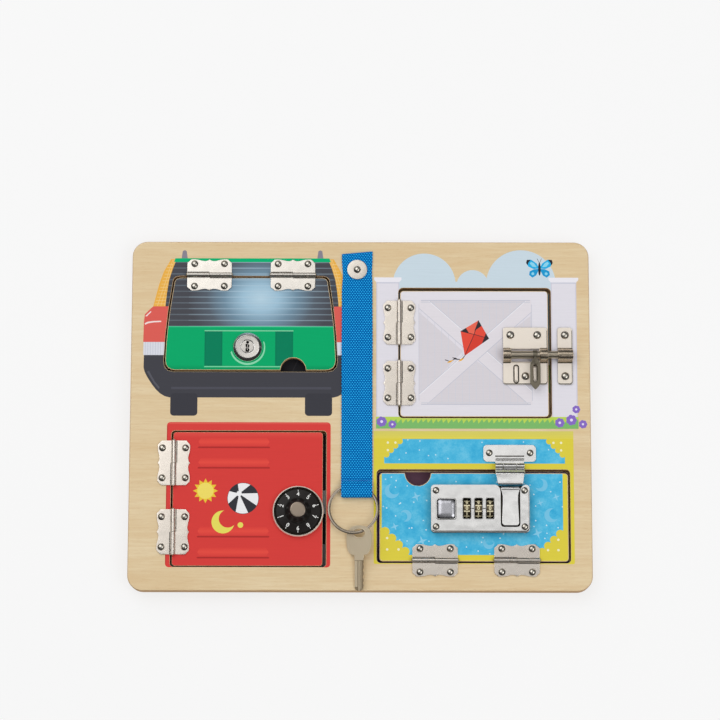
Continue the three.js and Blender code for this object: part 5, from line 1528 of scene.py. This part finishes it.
def slope_height(radius):
    """The height of the dial's cone at a distance from its middle."""
    out = min(max(radius, SLOPE_INNER), SLOPE_OUTER) - SLOPE_INNER
    return SLOPE_TOP - out * SLOPE_FALL / (SLOPE_OUTER - SLOPE_INNER)


tick = plate(box_outline(-0.24, 0.24, 16.7, 18.3), 0.0, 0.3, edge=0)
for v in tick.verts:
    v.co.z += slope_height(v.co.y)
tick_places = [(DIAL_X, DIAL_Y, 0.0, math.radians(STEP * i)) for i in range(10)]
ticks = scatter("dial_ticks", tick, tick_places, FIGURE_WHITE)


def figures(text, size, depth):
    """A raised numeral about its own middle."""
    curve = bpy.data.curves.new("figure", "FONT")
    curve.body = text
    curve.size = size
    curve.align_x = "CENTER"
    curve.align_y = "CENTER"
    curve.extrude = depth / 2
    curve.resolution_u = 3
    curve.offset = size * 0.025
    return merged(taken_back(placed("figure", curve)), 1e-4)


numerals = []
for i in range(10):
    numeral = figures(str(i), 4.7, 0.3)
    moved(numeral, shift(DIAL_X, DIAL_Y, 0) @ turning(STEP * (4 - i), "Z") @ shift(0, 14.4, 0))
    for v in numeral.verts:
        v.co.z += slope_height(math.hypot(v.co.x - DIAL_X, v.co.y - DIAL_Y)) + 0.15
    numerals.append(numeral)
fitting("dial_cone", cone, DIAL_BLACK, "dial", ["dial_face"])
fitting("dial_figures", joined(ticks, *numerals), FIGURE_WHITE, "dial", smooth=0)
KNOB_TOP = turned_metal("knob_steel", "#B5A594", 0.34, (DIAL_X, DIAL_Y))
knob = turned(
    [
        (0, 20.4), (10.8, 20.4), (11.0, 20.6), (10.9, 21.1), (10.2, 22.0), (9.3, 23.4), (8.3, 25.4),
        (7.8, 28.0), (7.5, 30.2), (7.3, 31.1), (6.9, 31.5), (6.6, 31.55), (6.45, 31.45), (6.3, 31.55),
        (6.0, 31.7), (5.4, 31.75), (0, 31.75),
    ],
    DIAL_X,
    DIAL_Y,
    72,
    materials=[0] * 12 + [1] * 4,
)
fitting("dial_knob_turned", knob, [KNOB_BLACK, KNOB_TOP], "dial", ["dial_knob"])

# The three-wheel lock of the box: a pressed case with windows, a button, wheels, and a tongue in a recess
CASE = (60.0, 143.5, -101.597, -61.306)
WHEELS, WHEEL_Y, WHEEL_Z, WHEEL_R = (90.4, 100.2, 110.0), -81.451, 15.7, 8.0
TONGUE_X, CASE_TOP = 127.3, 23.15
BUTTON = (72.9, -81.95)
windows = [about(x, WHEEL_Y, 3.25, 8.6, 0.9, 3) for x in WHEELS]
button_well = about(*BUTTON, 7.6, 8.1, 1.6)
case_left, case_right, case_low, case_high = CASE
recess_left, recess_right, recess_low, recess_corner = TONGUE_X - 8.3, TONGUE_X + 8.3, -97.2, 2.6
mouth = ((4.2, 0.0), (2.2, 0.9), (0.7, 2.9), (0.0, 6.0))
case_outline = [
    *arc(case_right - 3.0, case_low + 3.0, 3.0, -90, 0, 6),
    *arc(case_right - 3.0, case_high - 3.0, 3.0, 0, 90, 6),
    *[(recess_right + out, case_high - down) for out, down in mouth],
    *arc(recess_right - recess_corner, recess_low + recess_corner, recess_corner, 0, -90, 5),
    *arc(recess_left + recess_corner, recess_low + recess_corner, recess_corner, 270, 180, 5),
    *[(recess_left - out, case_high - down) for out, down in mouth[::-1]],
    *arc(case_left + 3.0, case_high - 3.0, 3.0, 90, 180, 6),
    *arc(case_left + 3.0, case_low + 3.0, 3.0, 180, 270, 6),
]
cover = slab(bmesh.new(), case_outline, 17.6, CASE_TOP, [*windows, button_well])
softness = cover.edges.layers.float.new("bevel_weight_edge")
for line in cover.edges:
    spot = (line.verts[0].co + line.verts[1].co) / 2
    if spot.z > CASE_TOP - 0.05 and line.calc_face_angle(0) > 1:
        inside = 64.0 < spot.x < 114.5 and -92.0 < spot.y < -71.5
        line[softness] = 0.5 if inside else 1.0
cover = bevelled(cover, 1.6, 6, by_weight=True)

# Painted shade: the case's steep sides in dark metal, and a dark line along its lower and right lip
darken_sides(cover, 1)
case_shade = lip_shade(case_left, case_right, case_low, -66.0, 3.0, CASE_TOP, 0.9)
# The base under the cover is dark metal: a painted shadow gap under the case
base = plate(rounded(*CASE, 3.0), SEAT, 18.4, windows, 0.3, 2, 1)
wheel_wells = [about(x, WHEEL_Y, 3.2, 8.5) for x in WHEELS]
chassis = plate(box_outline(86.2, 114.2, WHEEL_Y - 9.6, WHEEL_Y + 9.6), 9.2, 16.4, wheel_wells, 0.2, 2)
# Dark floors under the button and the tongue: painted shade in the recesses
button_floor = plate(rounded(65.0, 80.8, -90.4, -73.6, 1.0), 18.0, 19.2, edge=0, material=1)
recess_floor = rounded(TONGUE_X - 8.6, TONGUE_X + 8.6, -97.3, -62.0, 1.5)
recess_floor = plate(recess_floor, 18.3, 18.55, edge=0, material=1)
dashes = [plate(about(x, WHEEL_Y, 1.15, 0.4), 23.0, 23.22, edge=0, material=1) for x in (95.3, 105.1)]
lips = []
for x in WHEELS:
    window = about(x, WHEEL_Y, 3.2, 8.55, 0.9, 3)
    lips.append(plate(about(x, WHEEL_Y, 3.85, 9.2, 1.3, 4), 22.6, 23.35, [window], 0.25, 2))
frame_lip = plate(about(*BUTTON, 8.7, 9.2, 2.2), 22.6, 23.5, [button_well], 0.3, 2)
# The steep sides of the window and button lips are dark metal: painted shade
for lip in (*lips, frame_lip):
    darken_sides(lip, 1, 0.97)
fitting(
    "lock_case_metal",
    joined(cover, case_shade, base, chassis, button_floor, recess_floor, frame_lip, *dashes, *lips),
    [CASE_METAL, DARK_MARK_AND_SHADE_METAL],
    "box_door",
    ["lock_case"],
)


def pillow(sides, radius, base, top, drop, reach, steps=12):
    """A button whose face swells to its middle, with upright sides."""
    left, right, low, high = sides
    work = bmesh.new()
    levels = [(0.0, base)]
    levels += [(reach * i / steps, top - drop * (1 - i / steps) ** 3) for i in range(steps + 1)]
    rings = []
    for step, z in levels:
        loop = rounded(left + step, right - step, low + step, high - step, max(radius - step * 0.6, 0.5), 6)
        rings.append([work.verts.new((x, y, z)) for x, y in loop])
    for a, b in zip(rings, rings[1:]):
        for i in range(len(a)):
            j = (i + 1) % len(a)
            work.faces.new((a[i], a[j], b[j], b[i]))
    work.faces.new(rings[0][::-1])
    work.faces.new(rings[-1])
    return righted(work)


button = pillow((65.6, 80.2, -89.75, -74.15), 3.0, 22.3, 26.4, 1.0, 5.0)
# The button's steep sides are dark metal: painted shade round its edge
darken_sides(button, 1, 0.85)
button_coats = [BUTTON_METAL, DARK_MARK_AND_SHADE_METAL]
fitting("lock_button_metal", button, button_coats, "lock_button", ["lock_button"], 60)
DRUM = [(0, -2.9), (7.2, -2.9), (7.7, -2.75), (7.75, -2.5), (7.75, 2.5), (7.7, 2.75), (7.2, 2.9), (0, 2.9)]
for number, x in enumerate(WHEELS, 1):
    middle = shift(x, WHEEL_Y, WHEEL_Z)
    wheel = moved(turned(DRUM, steps=60), middle @ LAY_ALONG_X)
    marks = []
    for i in range(10):
        around = middle @ turning(STEP * i, "X")
        marks.append(moved(figures(str(i), 4.4, 0.3), around @ shift(0, 0, WHEEL_R - 0.15)))
        rib = plate(box_outline(-2.6, 2.6, -0.45, 0.45), -0.2, 0.16, edge=0)
        marks.append(moved(rib, around @ turning(STEP / 2, "X") @ shift(0, 0, WHEEL_R - 0.2)))
    marks = [coated(mark, 1) for mark in marks]
    name = f"lock_wheel_{number}"
    fitting(name + "_metal", joined(wheel, *marks), [WHEEL_METAL, FIGURE_CREAM], name, [name])
TONGUE = [
    (-8.0, -64.2), (-8.0, -65.5), (-7.2, -67.6), (-6.6, -70.5), (-6.5, -75.0), (-7.2, -90.0),
    (-7.3, -93.2), (-6.8, -95.0), (-5.4, -96.0),
]
tongue_left = [(TONGUE_X + x, y) for x, y in TONGUE]
tongue = plate(tongue_left + mirrored(tongue_left, TONGUE_X), 19.0, 23.6, edge=1.3, segments=5)
moved(tongue, shift(0, -80, 23.3) @ turning(-1.3, "X") @ shift(0, 80, -23.3))
tongue_roll = along_x(disc(-64.606, 21.2, 2.35, 28), TONGUE_X - 7.6, TONGUE_X + 7.6, edge=0.4)
tongue = joined(tongue, tongue_roll)
fitting("lock_tongue_metal", tongue, CASE_METAL, "lock_tongue", ["lock_tongue"], 60)
for x in (case_left + 4.2, case_right - 4.2):
    for y in (case_low + 4.6, case_high - 4.8):
        CASE_RIVETS["box_door"].append((x, y, CASE_TOP - 0.05, 0.0))

# The hasp: a strike plate with two knuckles, and a stepped arm that closes over the tongue
HASP_Y, HASP_Z, HASP_R, ARM_HALF = -45.004, 19.1, 2.75, 5.5
KNUCKLES = (TONGUE_X - 12.3, TONGUE_X + 12.3)


def hasp_roll(start, end):
    return along_x(disc(HASP_Y, HASP_Z, HASP_R, 32), TONGUE_X + start, TONGUE_X + end, edge=0.35)


strike = plate(rounded(104.9, 149.7, -40.9, -26.3, 3.2), SEAT, 17.35, edge=0.45)
tongue_plate = plate(box_outline(*KNUCKLES, -44.2, -39.8), SEAT, 17.2, edge=0.25)
ridge = [(-40.1, 17.0), (-39.6, 18.3), (-38.8, 18.6), (-38.0, 18.2), (-37.6, 17.0)]
ridge = along_x(ridge, *KNUCKLES, edge=0.3)
# A dark strip along the plate stands for the slot's shadow: painted shade
slit = plate(box_outline(*KNUCKLES, -36.5, -35.5), 17.2, 17.4, edge=0, material=1)
strike_plate = joined(strike, tongue_plate, ridge, slit, hasp_roll(-12.3, -5.85), hasp_roll(5.85, 12.3))
fitting("strike_plate_metal", strike_plate, [CASE_METAL, DARK_MARK_AND_SHADE_METAL], "board", ["strike_plate"])
for x in (TONGUE_X - 17.4, TONGUE_X + 17.4):
    CASE_RIVETS["board"].append((x, -33.2, 17.3, 0.0))


def lofted(rows):
    """A closed bar through rows of (y, low, high, half width) about the tongue's middle line."""
    work = bmesh.new()
    rings = []
    for y, low, high, half in rows:
        corners = box_outline(-half, half, low, high)
        rings.append([work.verts.new((TONGUE_X + x, y, z)) for x, z in corners])
    for a, b in zip(rings, rings[1:]):
        for i in range(4):
            j = (i + 1) % 4
            work.faces.new((a[i], b[i], b[j], a[j]))
    work.faces.new(rings[0])
    work.faces.new(rings[-1][::-1])
    return righted(work)


arm = lofted(
    [
        (-47.6, 19.9, 21.4, 12.4),
        (-48.8, 20.9, 22.3, 12.5),
        (-50.0, 22.3, 23.8, 12.5),
        (-51.2, 23.2, 24.75, 12.4),
        (-52.4, 23.5, 25.0, 12.1),
        (-59.8, 23.75, 25.1, 10.9),
        (-61.25, 23.65, 24.95, 10.6),
    ]
)
arm_web = [
    (-44.6, 21.85), (-46.4, 21.6), (-47.4, 21.45), (-49.0, 21.45), (-49.0, 20.1), (-46.9, 19.9),
    (-45.4, 19.9),
]
arm_web = along_x(arm_web, TONGUE_X - ARM_HALF, TONGUE_X + ARM_HALF, edge=0.2)
arm = joined(bevelled(arm, 0.45, 3), hasp_roll(-ARM_HALF, ARM_HALF), arm_web)
fitting("hasp_arm_metal", arm, CASE_METAL, "hasp_arm", ["hasp_arm"], 50)

for kind, shape, rows, slot in (
    ("rivets_", (3.05, 1.75), RIVETS, "nickel"),
    ("bolt_rivets_", (3.5, 1.95), BOLT_RIVETS, "nickel"),
    ("case_rivets_", (2.95, 1.5), CASE_RIVETS, "chrome"),
):
    for body, places in rows.items():
        if places:
            work = scatter(kind + body, dome(*shape), places, RIVET_METAL)
            fitting(kind + body, work, RIVET_METAL, body, smooth=50)


# The strap: flat webbing from the washer down to a sewn loop that holds the ring
STRAP_LEFT, STRAP_RIGHT, STRAP_TOP, STRAP_THICK = -16.2, 10.4, 142.2, 1.4
STRAP_FOLD, STRAP_HEM, STRAP_SPLIT = 116.05, -56.05, 28.0
STRAP_X, STRAP_Z, RIVET_Y = (STRAP_LEFT + STRAP_RIGHT) / 2, 17.0, 125.9


def webbing_strip(path, slant=0.0):
    """Flat webbing along a path of (y, z) middle points, with a map of the weave in millimetres."""
    work = bmesh.new()
    weave = work.loops.layers.uv.new("weave")
    half = STRAP_THICK / 2
    across = [c / 18 for c in range(19)]
    back = [1 - share for share in across]
    ring = [(share, 1) for share in across] + [(1.012, 0)] + [(share, -1) for share in back] + [(-0.012, 0)]
    shares = across + [1.0] + back + [0.0]
    rows, run = [], STRAP_TOP - path[0][0]
    for i, (y, z) in enumerate(path):
        before, after = Vector(path[max(0, i - 1)]), Vector(path[min(len(path) - 1, i + 1)])
        along = (after - before).normalized()
        out = Vector((along.y, -along.x))
        if i:
            run += (Vector(path[i]) - Vector(path[i - 1])).length
        section = []
        left = STRAP_LEFT + 0.35 + 0.9 * math.exp(-(((y - 122) / 9) ** 2))
        right = STRAP_RIGHT - 0.35 - 0.5 * math.exp(-(((y - 124) / 8) ** 2))
        top_end = min(1.0, max(0.0, (y - 118) / 24))
        for share, side in ring:
            x = left + (right - left) * share
            lean = slant * (1 - share) * top_end
            ease = 1 - 0.35 * (share < 0.001 or share > 0.999)
            bend = 0.1 * math.sin(y * 0.09 + share * 2.0) * math.sin(y * 0.023)
            place = Vector((y - lean, z)) + out * half * side * ease
            section.append(work.verts.new((x + bend, place.x, place.y)))
        rows.append((section, run))
    for (upper, from_run), (lower, to_run) in zip(rows, rows[1:]):
        for k, share in enumerate(shares):
            m = (k + 1) % len(shares)
            face = work.faces.new((upper[k], upper[m], lower[m], lower[k]))
            spots = ((share, from_run), (shares[m], from_run), (shares[m], to_run), (share, to_run))
            for corner, (place, length) in zip(face.loops, spots):
                corner[weave].uv = (place * (STRAP_RIGHT - STRAP_LEFT), length)
    for (section, length), order in ((rows[0], -1), (rows[-1], 1)):
        face = work.faces.new(section[::order])
        for corner in face.loops:
            corner[weave].uv = (corner.vert.co.x - STRAP_LEFT, length)
    return righted(work)


def stepped(start, end, step):
    """Even steps from start to end, about as long as asked."""
    count = max(1, round(abs(end - start) / step))
    return [start + (end - start) * i / count for i in range(count + 1)]


upper_run = stepped(STRAP_TOP - 0.05, STRAP_FOLD + 2.6, 1.6)
upper_run += stepped(STRAP_FOLD + 2.0, STRAP_FOLD - 2.0, 0.4)
upper_run += stepped(STRAP_FOLD - 2.8, STRAP_SPLIT, 2.2)
upper_strap = webbing_strip([(y, STRAP_Z) for y in upper_run], 2.4)
upper_piece = fitting("strap_upper", upper_strap, WEBBING, None, smooth=60)
lower_run = stepped(STRAP_SPLIT, -53.4, 2.2) + stepped(-54.0, -58.4, 0.4) + stepped(-59.4, -69.0, 1.6)
lower_run = [(y, STRAP_Z) for y in lower_run] + arc(-69.25, 19.2, 2.2, 270, 90, 12)[1:]
lower_run += [(-68.0, 21.4), (-66.0, 21.4), (-64.0, 21.4), (-62.5, 21.38), (-61.4, 21.25), (-60.5, 20.9)]
lower_run += [
    (-59.8, 20.35), (-59.2, 19.65), (-58.6, 19.05), (-58.0, 18.65), (-57.4, 18.48), (-56.6, 18.45)
]
lower_strap = webbing_strip(lower_run)
lower_piece = fitting("strap_lower", lower_strap, WEBBING, None, smooth=60)


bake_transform(upper_piece)
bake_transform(lower_piece)
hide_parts("strap_top", "strap_webbing")
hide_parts("strap_hem")

stitch = along_x(disc(0, 0, 0.3, 8), -0.95, 0.95, edge=0.12)
seam = [(STRAP_LEFT + 2.0 + 2.5 * i, -57.5, 19.13, 0.0) for i in range(10)]
stitches = scatter("strap_stitches", stitch, seam, THREAD)
fitting("strap_stitches", stitches, THREAD, "strap_hem", smooth=60)

WASHER = [(2.7, 18.0), (8.4, 18.0), (8.68, 18.15), (8.7, 18.5), (8.5, 18.85), (8.1, 18.98)]
WASHER += [(3.2, 19.0), (2.75, 18.9), (2.7, 18.0)]
washer = merged(turned(WASHER, STRAP_X, RIVET_Y, 56), 1e-4)
fitting("strap_washer_metal", washer, WASHER_METAL, "board", ["strap_washer"])
stud = moved(dome(3.1, 1.95, 32), shift(STRAP_X, RIVET_Y, 19.0))
shank = turned([(0, 8.05), (1.9, 8.05), (2.15, 8.4), (2.15, 19.2), (0, 19.2)], STRAP_X, RIVET_Y, 24)
fitting("strap_rivet_metal", joined(stud, shank), RIVET_METAL, "board", ["strap_rivet"], smooth=50)


# The split ring: a flat wire wound twice, through a Geometry Nodes tree


def coil(radius, turns, rise, wide, tall):
    """A wire of a flat section, wound to a ring: all sizes are in millimetres."""
    sizes = dict.fromkeys(("Radius", "Turns", "Rise", "Wire"), "Float")
    tree = NodeTree("coil", {**sizes, "Finish": "Material"})
    spiral = tree.node(
        "CurveSpiral",
        Resolution=96,
        Start_Radius=tree.given("Radius"),
        End_Radius=tree.given("Radius"),
        Rotations=tree.given("Turns"),
        Height=tree.given("Rise"),
    )
    upright = tree.node("SetCurveNormal", {"mode": "Z_UP"}, Curve=spiral.outputs["Curve"])
    section = tree.node("CurvePrimitiveCircle", Resolution=12, Radius=tree.given("Wire"))
    flat = tree.node("Transform", Scale=(wide, tall, 1), Geometry=section.outputs["Curve"])
    tube = tree.node(
        "CurveToMesh",
        Fill_Caps=True,
        Curve=upright.outputs["Curve"],
        Profile_Curve=flat.outputs["Geometry"],
    )
    tree.finish(tube.outputs["Mesh"])
    work = tree.run(placed("coil"), Radius=radius, Turns=turns, Rise=rise, Wire=1.0, Finish=RING_METAL)
    return righted(work)


RING_R, WIRE = 20.6, 0.85
RING_RISE, HEM_UNDER, GAP = 4.0, 17.7, 0.3
ring_tilt = Matrix.Rotation(-math.asin(RING_RISE / (2 * RING_R)), 4, "X")
ring_place = shift(-5.9, -81.702, HEM_UNDER + GAP + WIRE + RING_RISE / 2) @ ring_tilt @ turning(215, "Z")
ring = coil(RING_R, 2.04, WIRE, 1.25, 0.42)
moved(ring, ring_place @ shift(0, 0, -WIRE / 2))
fitting("key_ring_coil", ring, RING_METAL, "strap_hem", ["key_ring"], smooth=60)

# The key: a bevelled head with an oval hole, and a blade with two long grooves and a cut edge
HEAD_TOP, HEAD_BASE, TIP, HANG = 6.5, -18.3, -48.6, 1.1


def curve_through(start, control, end, steps=8):
    """Points on a curve that leaves start and reaches end along the lines to the control point."""
    points = []
    for i in range(1, steps + 1):
        t = i / steps
        place = Vector(start) * (1 - t) ** 2 + Vector(control) * 2 * t * (1 - t) + Vector(end) * t * t
        points.append(tuple(place))
    return points


def key_head(shrink):
    """The outline of the key's head, drawn in by a distance."""
    half, top, base = 11.6 - shrink, HEAD_TOP - shrink, HEAD_BASE + shrink * 0.6
    corner, neck, middle = 11.2, 4.6 - shrink, (HEAD_TOP + HEAD_BASE) / 2
    points = []
    for start, control, end in (
        ((neck, base), (half, base), (half, middle)),
        ((half, top - corner), (half, top), (half - corner, top)),
        ((-half + corner, top), (-half, top), (-half, top - corner)),
        ((-half, middle), (-half, base), (-neck, base)),
    ):
        points += [start, *curve_through(start, control, end)]
    return [p for i, p in enumerate(points) if (Vector(p) - Vector(points[i - 1])).length > 1e-4]


BLADE_TOP = HEAD_BASE - 3.0
SHOULDER = BLADE_TOP + 0.4
blade = [(4.5, HEAD_BASE + 2.0), (4.5, SHOULDER), (4.1, BLADE_TOP)]
for x, start, end in (
    (4.1, -24.6, None),
    (3.7, -25.4, -26.6),
    (4.1, -27.4, -29.2),
    (3.3, -30.8, -32.0),
    (3.9, -33.2, -34.8),
    (3.2, -36.4, -37.6),
    (4.0, -39.0, -40.6),
    (3.5, -41.6, -42.6),
    (4.0, -43.6, None),
):
    blade += [(x, y) for y in (start, end) if y]
blade += [(3.8, -45.6), (2.9, -47.4), (1.5, TIP), (-1.6, TIP), (-3.2, -47.5), (-4.1, -45.6)]
blade += [(-4.1, BLADE_TOP), (-4.5, SHOULDER), (-4.5, HEAD_BASE + 2.0)]
hole_oval = disc(0, 0, 5.2, 36, 3.6)
face = plate(key_head(0.2), -0.52, 0.52, [hole_oval], 0.15, 2)
rim = plate(key_head(0), -0.7, 0.7, [key_head(1.3)[::-1]], 0.4, 3)
collar = plate(disc(0, 0, 6.4, 36, 4.8), -0.68, 0.68, [hole_oval], 0.4, 3)
# The thin core shows in the grooves and along the cut edge in the darker metal: painted shade
core = plate(blade, -0.35, 0.35, edge=0.15, segments=2, material=1)
ridges = []
for left, right, low in ((-3.9, -1.35, -45.4), (-0.62, 0.62, TIP + 0.3), (1.35, 2.1, -47.6)):
    ridges.append(plate(box_outline(left, right, low, BLADE_TOP - 2.0), -0.66, 0.66, edge=0.16, segments=2))
shoulder = [(-4.5, BLADE_TOP - 1.6), (4.0, BLADE_TOP - 1.6), (4.0, BLADE_TOP), (4.5, SHOULDER)]
shoulder += [(4.5, HEAD_BASE + 1.0), (-4.5, HEAD_BASE + 1.0)]
shoulder = plate(shoulder, -0.68, 0.68, edge=0.3, segments=2)
key = joined(face, rim, collar, core, shoulder, *ridges)
moved(key, shift(-0.7, -101.541, 22.785) @ turning(4.8, "X") @ turning(-24, "Y") @ shift(0, -HANG, 0))
fitting("key_metal", key, [KEY_METAL, KEY_GROOVE_PAINTED_SHADE], "key", ["key"])


# Camera, light and floor


def camera():
    data = bpy.data.cameras.new("photo_camera")
    data.sensor_width = 36
    data.lens = 130
    data.clip_start = 0.05
    data.clip_end = 50
    right = (0.999999, 0.002039, 0.000211)
    up = (-0.001517, 0.984685, 0.174330)
    back = (0.0000547, -0.174330, 0.984687)
    place = (-0.0002, -0.3417, 2.2126)
    eye = placed("photo_camera", data)
    eye.matrix_world = Matrix([*zip(right, up, back, place), (0, 0, 0, 1)])
    bpy.context.scene.camera = eye


def lamp(name, place, size, power):
    """A white panel that faces the board."""
    data = bpy.data.lights.new(name, "AREA")
    data.shape = "RECTANGLE"
    data.size, data.size_y = size
    data.energy = power
    light = placed(name, data)
    light.location = place
    light.rotation_euler = (-Vector(place)).to_track_quat("-Z", "Y").to_euler()


def floor():
    """A white table under the board: the camera sees it glow a little, so that only a soft shadow stays."""
    s = Shader("white_table", roughness=0.9)
    grain = s.noise(s.where(), 0.05, 2)
    s.set("Base Color", s.mix(grain, (0.95, 0.95, 0.95), (0.97, 0.97, 0.97)))
    glow = s.tree.nodes.new("ShaderNodeEmission")
    glow.inputs["Color"].default_value = (0.95, 0.95, 0.95, 1)
    path = s.node("ShaderNodeLightPath", output="Is Camera Ray")
    both = s.tree.nodes.new("ShaderNodeMixShader")
    s.feed(both.inputs[0], path * 0.76)
    s.tree.links.new(s.surface.outputs[0], both.inputs[1])
    s.tree.links.new(glow.outputs[0], both.inputs[2])
    s.tree.links.new(both.outputs[0], s.tree.nodes["Material Output"].inputs["Surface"])
    mesh = as_mesh(slab(bmesh.new(), disc(0, 0, 3.0, 96), -0.02, -0.0002), "table_top")
    mesh.materials.append(s.material)
    placed("table_top", mesh)


def surroundings():
    """White behind everything and an even light; metals see a room bright above and dark at its walls."""
    world = bpy.data.worlds.new("plain_room")
    bpy.context.scene.world = world
    world.use_nodes = True
    tree = world.node_tree
    tree.nodes.clear()
    new, join = tree.nodes.new, tree.links.new

    def glow(strength):
        made = new("ShaderNodeBackground")
        made.inputs["Strength"].default_value = strength
        return made

    def graded(axis, stops):
        ramp = new("ShaderNodeValToRGB")
        set_stops(ramp.color_ramp, stops)
        join(split.outputs[axis], ramp.inputs[0])
        return ramp.outputs["Color"]

    output, where = new("ShaderNodeOutputWorld"), new("ShaderNodeTexCoord")
    split, path = new("ShaderNodeSeparateXYZ"), new("ShaderNodeLightPath")
    join(where.outputs["Generated"], split.inputs[0])
    room, shine, white = glow(0.69), glow(1.12), glow(1.0)
    join(graded("Z", [(0.0, 0.4), (0.8, 1.0)]), room.inputs["Color"])
    walls = [(0.0, 0.14), (0.09, 0.52), (0.118, 0.6), (0.155, 1.0)]
    walls += [(0.18, 1.0), (0.196, 0.25), (0.3, 0.22), (0.6, 0.22)]
    ahead = graded("Y", walls)
    above = graded("Z", [(0.0, 0.1), (0.35, 0.16), (0.7, 0.45), (0.9, 0.9), (0.96, 1.0)])
    both = new("ShaderNodeMix")
    both.data_type = "RGBA"
    both.blend_type = "MULTIPLY"
    both.inputs[0].default_value = 1
    join(ahead, both.inputs[6])
    join(above, both.inputs[7])
    join(both.outputs[2], shine.inputs["Color"])
    seen = room
    for ray, light in (("Is Glossy Ray", shine), ("Is Camera Ray", white)):
        choice = new("ShaderNodeMixShader")
        join(path.outputs[ray], choice.inputs[0])
        join(seen.outputs[0], choice.inputs[1])
        join(light.outputs[0], choice.inputs[2])
        seen = choice
    join(seen.outputs[0], output.inputs["Surface"])


camera()
surroundings()
floor()
lamp("window_light", (-0.9, 1.1, 1.9), (2.2, 2.2), 18)
lamp("fill_light", (1.2, -0.6, 1.8), (1.4, 1.0), 8.5)
bpy.context.scene.view_settings.view_transform = "Standard"
